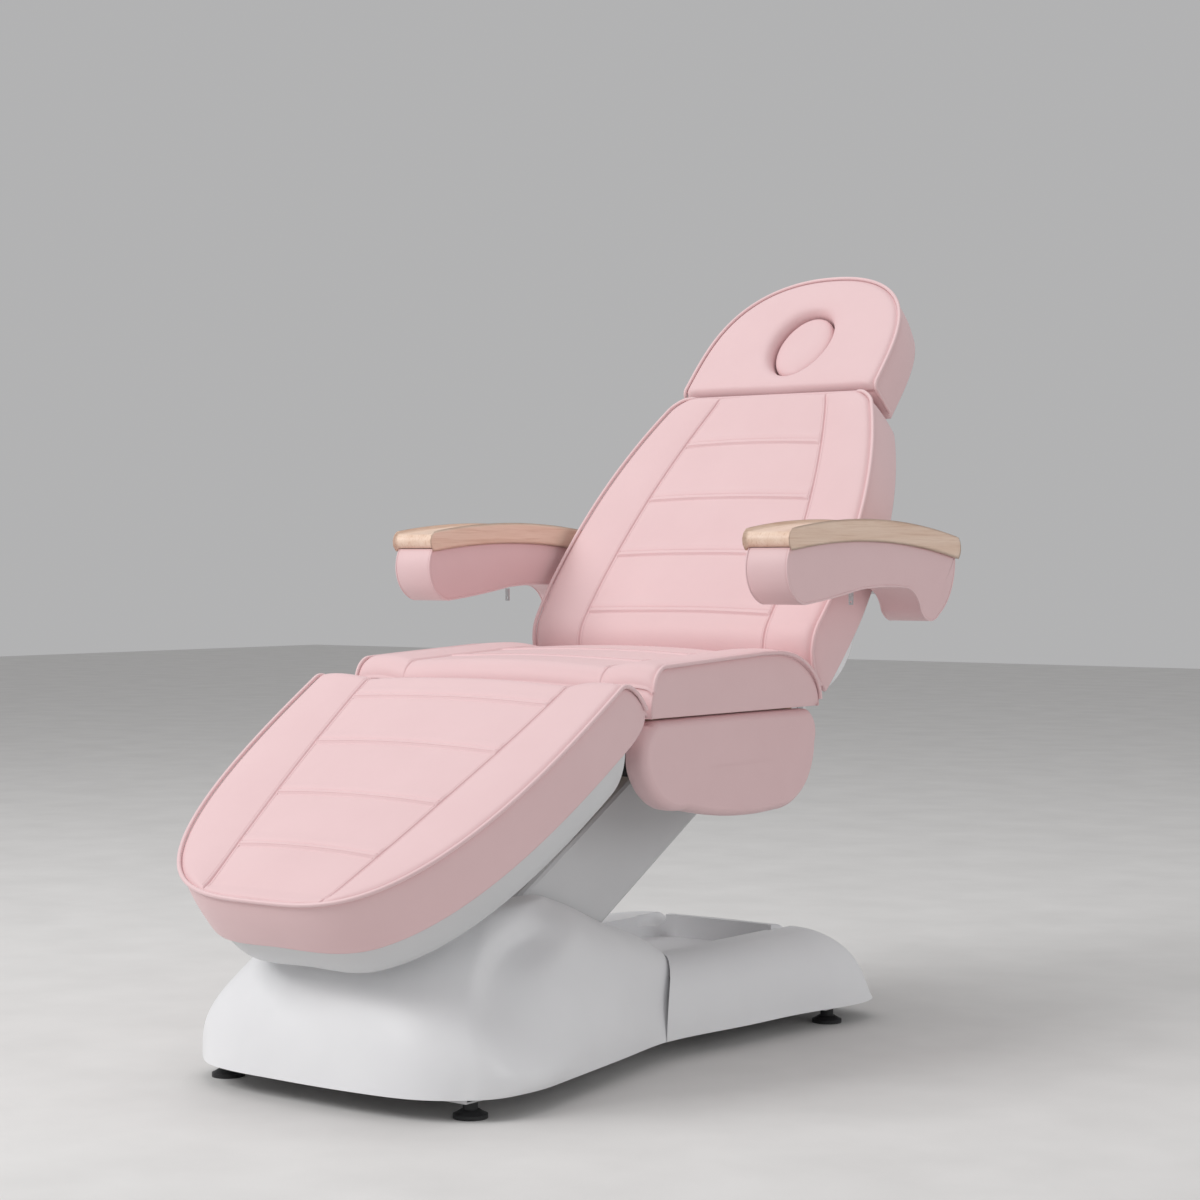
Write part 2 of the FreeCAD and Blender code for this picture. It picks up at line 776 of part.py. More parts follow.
def lift_arm_cover():
    """A smooth slab over the arm: two cheeks over the whole length, joined by a top and an underside."""
    half = ARM_COVER_HALF
    left = [(-half + depth, inset) for depth, inset in ARM_COVER_ROUNDING]
    right = [(half - depth, inset) for depth, inset in reversed(ARM_COVER_ROUNDING)]
    slab = padded_panel(ARM_COVER_PATH, left + right)
    inside = half - ARM_COVER_WALL
    start, end = ARM_COVER_CLOSED
    closed = block(-inside, inside, start, end, ARM_LOW + ARM_COVER_WALL, ARM_HIGH - ARM_COVER_WALL)
    root = block(-inside, inside, -200, start, -200, 200)
    tip = block(-inside, inside, end, 800, -200, 200)
    underside = block(-ARM_COVER_SLOT, ARM_COVER_SLOT, start - 1, end + 1, -200, 0)
    shell = slab.cut(closed).cut(root).cut(tip).cut(underside)
    for s in (120, 470):
        shell = shell.fuse(both_sides(cross_rod(8, BAR_X[1], inside, (s, 0))))
    return on_arm(shell)


def parallel_link():
    outline_half = 16
    bar = block(LINK_X[0], LINK_X[1], 0, ARM_LENGTH, -outline_half, outline_half)
    for place in ((0, 0), (ARM_LENGTH, 0)):
        bar = bar.fuse(cross_rod(outline_half, *LINK_X, place))
    for place in ((0, 0), (ARM_LENGTH, 0)):
        bar = bar.cut(cross_rod(LINK_PIN + RUNNING, 40, 60, place))
    return laid(bar.removeSplitter(), LOWER_LINK, ARM_RISE)


# Linear actuators: a housing with a motor beside it, and a rod

ROD = 9


def lift_actuator():
    base = LIFT_ACTUATOR_PIVOT
    eye = laid_point(LIFT_EYE, LIFT_PIVOT, ARM_RISE)
    length = math.hypot(eye[0] - base[0], eye[1] - base[1])
    angle = math.degrees(math.atan2(eye[1] - base[1], eye[0] - base[0]))
    eye_end = block(-12, 12, 0, 20, -11, 11).fuse(cross_rod(11, -12, 12, (0, 0)))
    gear = block(-14, 62, 18, 50, -18, 18)
    tube = rod(19, 0, (48, 0), (150, 0))
    motor = rod(17, 42, (48, 0), (118, 0))
    bore = rod(ROD + RUNNING, 0, (52, 0), (160, 0))
    housing = gear.fuse(eye_end).fuse(tube).fuse(motor).cut(bore).cut(cross_rod(6, -20, 20, (0, 0)))
    shaft = rod(ROD, 0, (56, 0), (length - 10, 0)).fuse(cross_rod(14, -11, 11, (length, 0)))
    shaft = shaft.cut(cross_rod(6 + LIFT_EYE_PLAY, -20, 20, (length, 0)))
    return laid(housing.removeSplitter(), base, angle), laid(shaft, base, angle)


LIFT_EYE_PLAY = 2.8  # clearance of the rod's eye on the arm's pin


def lift_actuator_mount():
    """Two ears and a pin on the cross tube under the lift actuator."""
    y, z = LIFT_ACTUATOR_PIVOT
    ear = block(14, 20, y - 14, y + 14, RAIL_HIGH, z).fuse(cross_rod(14, 14, 20, LIFT_ACTUATOR_PIVOT))
    ear = ear.cut(block(10, 30, y - 30, y + 30, 0, RAIL_HIGH))
    ear = ear.cut(cross_rod(6, 10, 30, LIFT_ACTUATOR_PIVOT))
    pin = cross_rod(6 - RUNNING, -20, 20, LIFT_ACTUATOR_PIVOT)
    return solids(both_sides(ear), pin)


ACTUATOR_X = 165
LEVER_HALF = 5
FORK_GAP = 7  # from the middle of a lever to the fork's tines
FORK_TINE = 8
FORK_PIN = 6
BACK_REACH = 74  # from the back pivot down to the actuator's axis
BACK_LEAN = 18.5  # degrees of the back lever from plumb, at rest
LEG_REACH = 80
LEG_LEAN = 16.5


def actuator_pin(pivot, reach, lean, play):
    return (pivot[0] + reach * math.tan(math.radians(lean)) + play, pivot[1] - reach)


BACK_ACTUATOR_PIN = actuator_pin(BACK_PIVOT, BACK_REACH, BACK_LEAN, 2)
LEG_ACTUATOR_PIN = actuator_pin(LEG_PIVOT, LEG_REACH, LEG_LEAN, 0)


def fork_rod(x, pin, way, reach):
    """A rod along Y that ends in a fork with a pin. way is +1 where it pushes to the head end."""
    y, z = pin
    half = FORK_GAP + FORK_TINE
    bridge_y = sorted((y - way * 36, y - way * 48))
    shape = block(x - half, x + half, bridge_y[0], bridge_y[1], z - 10, z + 10)
    tine_y = sorted((y + way * 10, y - way * 48))
    for start in (x + FORK_GAP, x - half):
        shape = shape.fuse(block(start, start + FORK_TINE, tine_y[0], tine_y[1], z - 10, z + 10))
    shape = shape.fuse(cross_rod(FORK_PIN, x - half, x + half, pin))
    return shape.fuse(rod(ROD, x, (y - way * 46, z), (y - way * reach, z))).removeSplitter()


def fixed_actuator(x, z, near, far, way):
    """A housing along Y from its closed end far to its open end near, hung on the seat's cross tubes."""
    tube = rod(19, x, (far, z), (near, z))
    motor = rod(17, x + math.copysign(42, x), (far + way * 40, z), (far + way * 130, z))
    low_y, high_y = sorted((far, far + way * 40))
    gear_x = sorted((x - math.copysign(20, x), x + math.copysign(60, x)))
    gear = block(gear_x[0], gear_x[1], low_y, high_y, z - 20, z + 20)
    hanger = block(x - 8, x + 8, low_y + 5, high_y - 5, z, SEAT_RAIL_LOW)
    shape = tube.fuse(motor).fuse(gear).fuse(hanger)
    return shape.cut(rod(ROD + RUNNING, x, (far + way * 50, z), (near + way * 5, z))).removeSplitter()


# Seat frame

SEAT_RAIL_X = (205, 230)
SEAT_RAIL_LOW = 505
SEAT_RAIL_HIGH = SEAT_LOW - BOARD


def seat_rails():
    return both_sides(box_tube(*SEAT_RAIL_X, 98, 543, SEAT_RAIL_LOW, SEAT_RAIL_HIGH, "y"))


def seat_cross_tubes():
    runs = ((180, 215), (395, 430), (490, 525))
    inner = SEAT_RAIL_X[0]
    return solids(*[box_tube(-inner, inner, y0, y1, SEAT_RAIL_LOW, SEAT_RAIL_HIGH, "x") for y0, y1 in runs])


def carriage_plates():
    outline = ((395, 505), (525, 505), (526, 440), (512, 412), (478, 404), (452, 430), (420, 470))
    side = plate(outline, *TOWER_X)
    side = side.cut(cross_rod(ARM_PIN, 60, 90, UPPER_PIVOT)).cut(cross_rod(LINK_PIN, 60, 90, UPPER_LINK))
    return both_sides(side)


def seat_board():
    return block(-252, 252, 95, 532, SEAT_RAIL_HIGH, SEAT_LOW)


LEG_LUG_X = (218, 228)
SEAT_LEG_LUG_X = (230, 240)
SEAT_BACK_LUG_X = (230, 240)
BACK_LUG_X = (216, 228)
LEG_PIN = 6
BACK_PIN = 8


def seat_hinge_lugs():
    """Plates on the outsides of the seat rails that carry the leg rest and the backrest."""
    front = plate(((62, 517), (140, 505), (140, 531), (92, 531), (62, 539)), *SEAT_LEG_LUG_X)
    front = front.fuse(cross_rod(11, *SEAT_LEG_LUG_X, LEG_PIVOT))
    front = front.cut(cross_rod(LEG_PIN, 225, 245, LEG_PIVOT))
    rear_outline = (
        (480, 505),
        (560, 505),
        (594, 530),
        (594, 552),
        (580, 560),
        (560, 556),
        (540, 531),
        (480, 531),
    )
    rear = plate(rear_outline, *SEAT_BACK_LUG_X)
    rear = rear.cut(cross_rod(BACK_PIN, 225, 245, BACK_PIVOT))
    return solids(both_sides(front), both_sides(rear))


def hinge_pins():
    leg = cross_rod(LEG_PIN, LEG_LUG_X[0] - 2, SEAT_LEG_LUG_X[1] + 2, LEG_PIVOT)
    back = cross_rod(BACK_PIN, BACK_LUG_X[0] - 2, SEAT_BACK_LUG_X[1] + 2, BACK_PIVOT)
    return solids(both_sides(leg), both_sides(back))


SIDE_PAD_INNER = 258


def side_pad():
    back = ((SIDE_PAD_INNER, 4), (SIDE_PAD_INNER + 6, 0))
    front = ((SEAT_HALF - 8, 0), (SEAT_HALF - 2, 5), (SEAT_HALF, 14))
    return padded_panel(SIDE_PAD_PATH, back + front)


def side_pad_brackets():
    """Angles from the seat rails out and down to the backs of the side pads."""
    angles = []
    for y in (230, 420):
        top = block(SEAT_RAIL_X[1], SIDE_PAD_INNER, y - 20, y + 20, SEAT_RAIL_LOW, SEAT_RAIL_LOW + 4)
        drop = block(SIDE_PAD_INNER - 4, SIDE_PAD_INNER, y - 20, y + 20, 430, SEAT_RAIL_LOW)
        angles.append(both_sides(top.fuse(drop).removeSplitter()))
    return solids(*angles)


# Leg rest, drawn level with its foot end towards -Y

LEG_FRAME_HIGH = LEG_LOW - BOARD
LEG_FRAME_LOW = LEG_FRAME_HIGH - 20
LEG_SHELL_LOW = -150
LEG_SHELL_LEVELS = ((LEG_LOW, 14, 34), (-118, 20, 52), (-142, 34, 76), (LEG_SHELL_LOW, 52, 96))


def leg_outline(z, inset, rear, shrink):
    """The leg rest's plan, drawn in by inset, from its rear edge round the tip."""
    places = (rear, 120, 240, 360, 430, 470, 500, 520)
    half = [(leg_half(u) - inset - shrink, -u + shrink * u / LEG_LENGTH) for u in places]
    tip = (0, -(LEG_LENGTH - inset) + shrink)
    right = [Vector(x, y + inset * 0.6 * (-y / LEG_LENGTH) ** 4, z) for x, y in half]
    left = [Vector(-p.x, p.y, z) for p in reversed(right)]
    curve = Part.BSplineCurve()
    curve.interpolate(right + [Vector(tip[0], tip[1], z)] + left)
    rear_edge = Part.LineSegment(left[-1], right[0])
    return Part.Wire([curve.toShape(), rear_edge.toShape()])


def leg_shell():
    outer = smooth_loft([leg_outline(z, inset, rear, 0) for z, inset, rear in LEG_SHELL_LEVELS])
    wall = SHELL_WALL
    levels = [(z + wall, inset, rear + wall) for z, inset, rear in LEG_SHELL_LEVELS]
    levels[0] = (LEG_LOW + 2, LEG_SHELL_LEVELS[0][1], LEG_SHELL_LEVELS[0][2] + wall)
    inner = smooth_loft([leg_outline(z, inset, rear, wall) for z, inset, rear in levels])
    shell = outer.cut(inner)
    for x0, x1 in (LEG_LUG_X, (-LEG_LUG_X[1], -LEG_LUG_X[0])):
        shell = shell.cut(block(x0 - 2, x1 + 2, -130, 20, LEG_FRAME_LOW - 6, LEG_LOW + 5))
    lever_x = -ACTUATOR_X
    return shell.cut(block(lever_x - 8, lever_x + 8, -130, 20, LEG_SHELL_LOW - 5, LEG_LOW + 5))


def leg_board():
    places = (54, 160, 280, 380, 450, 490)
    right = [Vector(leg_half(u) - 32, -u, LEG_FRAME_HIGH) for u in places]
    left = [Vector(-p.x, p.y, p.z) for p in reversed(right)]
    outline = Part.makePolygon(right + left + right[:1])
    return Part.Face(outline).extrude(Vector(0, 0, BOARD))


def leg_frame():
    low, high = LEG_FRAME_LOW, LEG_FRAME_HIGH
    rails = both_sides(box_tube(150, 175, -420, -125, low, high, "y"))
    rear = box_tube(-LEG_LUG_X[1], LEG_LUG_X[1], -125, -100, low, high, "x")
    front = box_tube(-150, 150, -420, -395, low, high, "x")
    pivot = drawn_point(LEG_PIVOT, LEG_ORIGIN, LEG_DROP)
    lug_outline = (
        (-100, low),
        (-100, high - 2),
        (-20, high - 2),
        (pivot[0], pivot[1] + 7),
        (26, -92),
        (14, -108),
        (-20, low),
    )
    lug = plate(lug_outline, *LEG_LUG_X)
    lug = lug.cut(cross_rod(LEG_PIN + RUNNING, 210, 235, pivot))
    return solids(rails, rear, front, both_sides(lug))


def slotted(shape, pivot, lean, x, radial, width):
    """Cuts the slot, along a lever, that the fork's pin works in."""
    half = width / 2
    slot = block(x - 20, x + 20, -half, half, -radial[1], -radial[0])
    for distance in radial:
        slot = slot.fuse(cross_rod(half, x - 20, x + 20, (0, -distance)))
    return shape.cut(laid(slot, pivot, lean))


def leg_lever():
    pivot = drawn_point(LEG_PIVOT, LEG_ORIGIN, LEG_DROP)
    outline = (
        (-100, LEG_FRAME_LOW),
        (-100, LEG_FRAME_HIGH - 2),
        (-20, LEG_FRAME_HIGH - 2),
        (pivot[0], pivot[1] + 7),
        (30, -98),
        (20, -140),
        (10, -192),
        (-28, -192),
        (-36, -150),
    )
    lever = plate(outline, -ACTUATOR_X - LEVER_HALF, -ACTUATOR_X + LEVER_HALF)
    run = (LEG_REACH - 2, LEG_REACH + 6)
    return slotted(on_leg(lever), LEG_PIVOT, LEG_LEAN, -ACTUATOR_X, run, 2 * FORK_PIN + 3)


# Backrest, drawn level with its head end towards +Y

BACK_FRAME_HIGH = BACK_LOW - BOARD
BACK_FRAME_LOW = BACK_FRAME_HIGH - 20
BACK_SHELL_LOW = -128
BACK_RAIL_X = (190, 215)
BACK_SHELL_LEVELS = ((BACK_LOW, 14, 0), (-112, 18, 4), (-124, 28, 12), (BACK_SHELL_LOW, 44, 26))
HEAD_BAR = 7
HEAD_BAR_X = 70
HEAD_AXLE = 9


def back_outline(z, inset, ends, shrink):
    """The backrest's plan, drawn in by inset."""
    low_end = BACK_REAR + 6 + ends + shrink
    high_end = BACK_LENGTH - 8 - ends - shrink
    places = (low_end + 30, 60, 180, 300, 390, high_end - 26)
    right = [Vector(back_half(u) - inset - shrink, u, z) for u in places]
    right.insert(0, Vector(back_half(0) - inset - shrink - 22, low_end, z))
    right.append(Vector(back_half(high_end - 26) - inset - shrink - 34, high_end, z))
    left = [Vector(-p.x, p.y, z) for p in reversed(right)]
    curves = []
    for side in (right, left):
        curve = Part.BSplineCurve()
        curve.interpolate(side)
        curves.append(curve.toShape())
    top = Part.LineSegment(right[-1], left[0]).toShape()
    low = Part.LineSegment(left[-1], right[0]).toShape()
    return Part.Wire([curves[0], top, curves[1], low])


def back_shell():
    outer = smooth_loft([back_outline(z, inset, ends, 0) for z, inset, ends in BACK_SHELL_LEVELS])
    wall = SHELL_WALL
    levels = [(z + wall, inset, ends) for z, inset, ends in BACK_SHELL_LEVELS]
    levels[0] = (BACK_LOW + 2,) + BACK_SHELL_LEVELS[0][1:]
    inner = smooth_loft([back_outline(z, inset, ends, wall) for z, inset, ends in levels])
    shell = outer.cut(inner)
    for x in (-HEAD_BAR_X, HEAD_BAR_X):
        shell = shell.cut(rod(HEAD_BAR + 1, x, (400, HEAD_PIVOT[1]), (560, HEAD_PIVOT[1])))
    for x0, x1 in ((BACK_LUG_X[0] - 2, BACK_LUG_X[1] + 2), (-BACK_LUG_X[1] - 2, -BACK_LUG_X[0] + 2)):
        shell = shell.cut(block(x0, x1, -140, -40, -160, BACK_LOW + 4))
    shell = shell.cut(block(ACTUATOR_X - 7, ACTUATOR_X + 7, -140, -40, -160, BACK_LOW + 4))
    for side in (-1, 1):
        x0, x1 = sorted((side * (BACK_RAIL_X[1] - 2), side * 320))
        u, w = ARMREST_PIVOT
        shell = shell.cut(block(x0, x1, u - 24, u + 24, w - 20, BACK_FRAME_HIGH + 1))
    return shell


def back_board():
    places = (-60, 120, 260, 380, 455)
    right = [Vector(back_half(u) - 32, u, BACK_FRAME_HIGH) for u in places]
    left = [Vector(-p.x, p.y, p.z) for p in reversed(right)]
    return Part.Face(Part.makePolygon(right + left + right[:1])).extrude(Vector(0, 0, BOARD))


def back_frame():
    low, high = BACK_FRAME_LOW, BACK_FRAME_HIGH
    rails = both_sides(box_tube(*BACK_RAIL_X, -70, 235, low, high, "y"))
    inner = BACK_RAIL_X[0]
    cross = [box_tube(-inner, inner, u, u + 25, low, high, "x") for u in (10, 210)]
    pivot = drawn_point(BACK_PIVOT, BACK_ORIGIN, BACK_RISE)
    lug_outline = (
        (-10, low),
        (-10, high - 1),
        (-70, high - 1),
        (pivot[0], pivot[1] + 12),
        (-135, -102),
        (-130, -118),
        (-100, low),
    )
    lug = plate(lug_outline, *BACK_LUG_X)
    lug = lug.cut(cross_rod(BACK_PIN + RUNNING, 210, 235, pivot))
    return solids(rails, *cross, both_sides(lug))


def back_lever():
    pivot = drawn_point(BACK_PIVOT, BACK_ORIGIN, BACK_RISE)
    outline = (
        (10, BACK_FRAME_LOW),
        (10, BACK_FRAME_HIGH - 1),
        (-70, BACK_FRAME_HIGH - 1),
        (pivot[0], pivot[1] + 11),
        (-136, -104),
        (-160, -140),
        (-186, -178),
        (-160, -194),
        (-128, -152),
        (-92, BACK_FRAME_LOW),
    )
    lever = plate(outline, ACTUATOR_X - LEVER_HALF, ACTUATOR_X + LEVER_HALF)
    run = (BACK_REACH - 1, BACK_REACH + 17)
    return slotted(on_back(lever), BACK_PIVOT, BACK_LEAN, ACTUATOR_X, run, 2 * FORK_PIN + 7)


def headrest_sleeves():
    w = HEAD_PIVOT[1]
    sleeve = rod(10, HEAD_BAR_X, (236, w), (440, w))
    bore = rod(HEAD_BAR + RUNNING, HEAD_BAR_X, (230, w), (450, w))
    return both_sides(sleeve.cut(bore))


def armrest_brackets():
    """Bars from the backrest's side rails out to the armrests, each with its pivot pin."""
    u, w = ARMREST_PIVOT
    bar = block(BACK_RAIL_X[1], 318, u - 22, u + 22, BACK_FRAME_LOW, BACK_FRAME_LOW + 8)
    ear = block(310, 318, u - 22, u + 22, w - 16, BACK_FRAME_LOW + 8)
    pin = cross_rod(8, 310, 362, (u, w))
    return both_sides(bar.fuse(ear).fuse(pin).removeSplitter())


# Headrest

HEAD_BOARD = 6
CLAMP_X = (90, 105)


def headrest_bars():
    """Two bars that slide in the backrest's sleeves, joined by the rod that the headrest tilts on."""
    u, w = HEAD_PIVOT
    bars = [rod(HEAD_BAR, x, (262, w), (u, w)) for x in (-HEAD_BAR_X, HEAD_BAR_X)]
    axle = cross_rod(HEAD_AXLE, -CLAMP_X[1] - 6, CLAMP_X[1] + 6, HEAD_PIVOT)
    return on_back(axle.fuse(bars[0]).fuse(bars[1]).removeSplitter())


def headrest_clamps():
    pivot = drawn_point(laid_point(HEAD_PIVOT, BACK_ORIGIN, BACK_RISE), HEAD_ORIGIN, HEAD_RISE)
    top = HEAD_LOW - HEAD_BOARD
    low = pivot[1] - 13
    clamp = block(*CLAMP_X, pivot[0] - 14, pivot[0] + 20, low, top)
    return on_head(both_sides(clamp.cut(cross_rod(HEAD_AXLE + RUNNING, 80, 120, pivot))))


def headrest_board():
    places = (14, 110, 175, 220, 246)
    right = [Vector(head_half(u) - 26, u, HEAD_LOW - HEAD_BOARD) for u in places]
    left = [Vector(-p.x, p.y, p.z) for p in reversed(right)]
    board = Part.Face(Part.makePolygon(right + left + right[:1])).extrude(Vector(0, 0, HEAD_BOARD))
    return on_head(board.cut(oval_prism(HOLE_HALF_X - 6, HOLE_HALF_Y - 6, -120, 0)))


# The base

nodes["base_side_rails"] = base_rails()
nodes["base_cross_tubes"] = base_cross_tubes()
nodes["pivot_towers"] = pivot_towers()
nodes["lower_pivot_pins"] = pivot_pins(LIFT_PIVOT, LOWER_LINK)
nodes["lift_actuator_mount"] = lift_actuator_mount()
nodes["front_base_cover"] = front_base_cover()
nodes["rear_base_cover"] = rear_base_cover()
nodes["cover_brackets"] = cover_brackets()
nodes["foot_pads"] = foot_pads()
nodes["foot_studs"] = foot_studs()
nodes["control_box"] = block(-100, 100, 420, 580, RAIL_HIGH, 100)
nodes["mains_inlet"] = mains_inlet()

# The lift
nodes["lift_arm"] = lift_arm()
nodes["arm_bushes"] = arm_bushes()
nodes["lift_arm_cover"] = lift_arm_cover()
nodes["right_parallel_link"] = parallel_link()
nodes["left_parallel_link"] = mirrored(parallel_link())
nodes["lift_actuator_housing"], nodes["lift_actuator_rod"] = lift_actuator()

# The seat
nodes["seat_rails"] = seat_rails()
nodes["seat_cross_tubes"] = seat_cross_tubes()
nodes["carriage_plates"] = carriage_plates()
nodes["upper_pivot_pins"] = pivot_pins(UPPER_PIVOT, UPPER_LINK)
nodes["seat_board"] = seat_board()
nodes["seat_cushion"] = seat_cushion()
nodes["right_side_pad"] = side_pad()
nodes["left_side_pad"] = mirrored(side_pad())
nodes["side_pad_brackets"] = side_pad_brackets()
nodes["seat_hinge_lugs"] = seat_hinge_lugs()
nodes["hinge_pins"] = hinge_pins()
nodes["back_actuator_housing"] = fixed_actuator(ACTUATOR_X, BACK_ACTUATOR_PIN[1], 440, 182, 1)
nodes["leg_actuator_housing"] = fixed_actuator(-ACTUATOR_X, LEG_ACTUATOR_PIN[1], 150, 428, -1)
nodes["back_actuator_rod"] = fork_rod(ACTUATOR_X, BACK_ACTUATOR_PIN, 1, 260)
nodes["leg_actuator_rod"] = fork_rod(-ACTUATOR_X, LEG_ACTUATOR_PIN, -1, 200)

# The leg rest
nodes["legrest_frame"] = on_leg(leg_frame())
nodes["legrest_lever"] = leg_lever()
nodes["legrest_board"] = on_leg(leg_board())
nodes["legrest_shell"] = on_leg(leg_shell())
nodes["legrest_cushion"] = on_leg(leg_cushion())

# The backrest and headrest
nodes["backrest_frame"] = on_back(back_frame())
nodes["backrest_lever"] = back_lever()
nodes["backrest_board"] = on_back(back_board())
nodes["backrest_shell"] = on_back(back_shell())
nodes["backrest_cushion"] = on_back(back_cushion())
nodes["headrest_sleeves"] = on_back(headrest_sleeves())
nodes["armrest_brackets"] = on_back(armrest_brackets())
nodes["headrest_bars"] = headrest_bars()
nodes["headrest_clamps"] = headrest_clamps()
nodes["headrest_board"] = headrest_board()
nodes["headrest_cushion"] = on_head(head_cushion())
nodes["face_plug"] = on_head(face_plug())

# The armrests
for name, shape in armrest().items():
    nodes["right_" + name] = shape
    nodes["left_" + name] = mirrored(shape)
nodes["right_zip_pull"] = zip_pull()
nodes["left_zip_pull"] = mirrored(zip_pull())

os.makedirs("parts", exist_ok=True)
whole = FreeCAD.BoundBox()
for name, shape in nodes.items():
    placed = shape.copy()
    placed.translate(Vector(0, -CENTRE_Y, 0))
    whole.add(placed.BoundBox)
    state = "valid" if placed.isValid() else "INVALID"
    print(f"{name:24s} {state} solids {len(placed.Solids)} volume {placed.Volume / 1000:.1f} cm3")
    placed.exportStep(f"parts/{name}.step")
print("box", whole)
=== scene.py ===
"""Looks of the electric beauty bed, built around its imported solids."""

import json
import math

import bpy
from mathutils import Matrix, Vector, noise


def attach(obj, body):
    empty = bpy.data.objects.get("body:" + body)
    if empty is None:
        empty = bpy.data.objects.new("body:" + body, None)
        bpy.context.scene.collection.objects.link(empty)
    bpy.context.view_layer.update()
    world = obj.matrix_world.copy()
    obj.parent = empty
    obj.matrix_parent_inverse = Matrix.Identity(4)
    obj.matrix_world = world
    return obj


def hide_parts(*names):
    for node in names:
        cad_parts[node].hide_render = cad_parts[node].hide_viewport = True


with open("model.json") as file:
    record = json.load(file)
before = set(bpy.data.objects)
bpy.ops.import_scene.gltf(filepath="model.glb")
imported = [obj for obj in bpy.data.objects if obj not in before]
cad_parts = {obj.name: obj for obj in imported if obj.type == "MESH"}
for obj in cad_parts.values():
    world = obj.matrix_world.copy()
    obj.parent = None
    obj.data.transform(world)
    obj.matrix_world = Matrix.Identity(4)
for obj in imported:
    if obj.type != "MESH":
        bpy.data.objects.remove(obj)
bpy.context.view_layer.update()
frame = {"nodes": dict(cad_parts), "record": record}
nodes = frame["nodes"]
scene = bpy.context.scene

# The solids' own layout, in millimetres: X across, Y from foot to head, Z up.
MM = 0.001
CENTRE_Y = 330.5  # the frame's Y = 0, in the layout's Y
LEG_PLACE = ((0, 597), 33)  # origin as (Y, Z), and degrees from level
BACK_PLACE = ((565, 699), 52.3)
HEAD_PLACE = ((880, 1105), 48.5)
LEVEL = ((0, 0), 0)


def placing(place):
    """The matrix from a panel's level drawing, in millimetres, to the frame, in metres."""
    (y, z), degrees = place
    move = Matrix.Translation(Vector((0, (y - CENTRE_Y) * MM, z * MM)))
    return move @ Matrix.Rotation(math.radians(degrees), 4, "X") @ Matrix.Scale(MM, 4)


# Materials


class Shader:
    """A principled material, with short ways to add and join nodes."""

    def __init__(self, name, roughness, **sockets):
        self.material = bpy.data.materials.new(name)
        self.material.use_nodes = True
        self.tree = self.material.node_tree
        self.main = self.tree.nodes["Principled BSDF"]
        self.main.inputs["Roughness"].default_value = roughness
        for socket, value in sockets.items():
            self.main.inputs[socket.replace("_", " ")].default_value = value
        self.place = self.add("ShaderNodeTexCoord").outputs["Object"]

    def add(self, kind, **values):
        node = self.tree.nodes.new(kind)
        for key, value in values.items():
            if key in node.inputs:
                node.inputs[key].default_value = value
            else:
                setattr(node, key, value)
        return node

    def join(self, start, end):
        self.tree.links.new(start, end)

    def noise(self, scale, detail=3, roughness=0.5, vector=None):
        node = self.add("ShaderNodeTexNoise", Scale=scale, Detail=detail, Roughness=roughness)
        self.join(vector or self.place, node.inputs["Vector"])
        return node.outputs["Fac"]

    def stretched(self, scale):
        node = self.add("ShaderNodeMapping")
        node.inputs["Scale"].default_value = scale
        self.join(self.place, node.inputs["Vector"])
        return node.outputs["Vector"]

    def ramp(self, value, stops):
        """Colours over a value. stops lists (place, colour)."""
        node = self.add("ShaderNodeValToRGB")
        elements = node.color_ramp.elements
        while len(elements) < len(stops):
            elements.new(0.5)
        for element, (place, colour) in zip(elements, stops):
            element.position = place
            element.color = (*colour, 1)
        self.join(value, node.inputs["Fac"])
        return node.outputs["Color"]

    def tones(self, value, deep, light, low=0.3, high=0.7):
        return self.ramp(value, [(low, deep), (high, light)])

    def span(self, value, low, high):
        node = self.add("ShaderNodeMapRange")
        node.inputs["To Min"].default_value = low
        node.inputs["To Max"].default_value = high
        self.join(value, node.inputs["Value"])
        return node.outputs["Result"]

    def mix(self, share, first, second):
        node = self.add("ShaderNodeMix", data_type="RGBA")
        node.inputs["Factor"].default_value = share
        self.join(first, node.inputs["A"])
        self.join(second, node.inputs["B"])
        return node.outputs["Result"]

    def total(self, first, second, weight):
        """first plus weight times second."""
        node = self.add("ShaderNodeMath", operation="MULTIPLY_ADD")
        self.join(second, node.inputs[0])
        node.inputs[1].default_value = weight
        self.join(first, node.inputs[2])
        return node.outputs["Value"]

    def colour(self, value):
        self.join(value, self.main.inputs["Base Color"])

    def rough(self, value):
        self.join(value, self.main.inputs["Roughness"])

    def bump(self, height, distance, strength):
        node = self.add("ShaderNodeBump", Strength=strength, Distance=distance)
        self.join(height, node.inputs["Height"])
        self.join(node.outputs["Normal"], self.main.inputs["Normal"])


def leather(name, deep, light, roughness=0.5):
    """Faux leather: pebble grain, faint cloudy tone and slightly uneven gloss."""
    made = Shader(name, roughness, Sheen_Weight=0.12, Sheen_Roughness=0.5, Specular_IOR_Level=0.38)
    cloud = made.noise(scale=9, detail=4, roughness=0.6)
    made.colour(made.tones(cloud, deep, light))
    pebble = made.add("ShaderNodeTexVoronoi", feature="SMOOTH_F1", Scale=820)
    made.join(made.place, pebble.inputs["Vector"])
    fine = made.noise(scale=1500, detail=2, roughness=0.6)
    gloss = made.noise(scale=60)
    made.rough(made.span(gloss, roughness - 0.03, roughness + 0.04))
    grain = made.total(pebble.outputs["Distance"], fine, weight=0.5)
    made.bump(grain, distance=0.00022, strength=0.4)
    return made.material


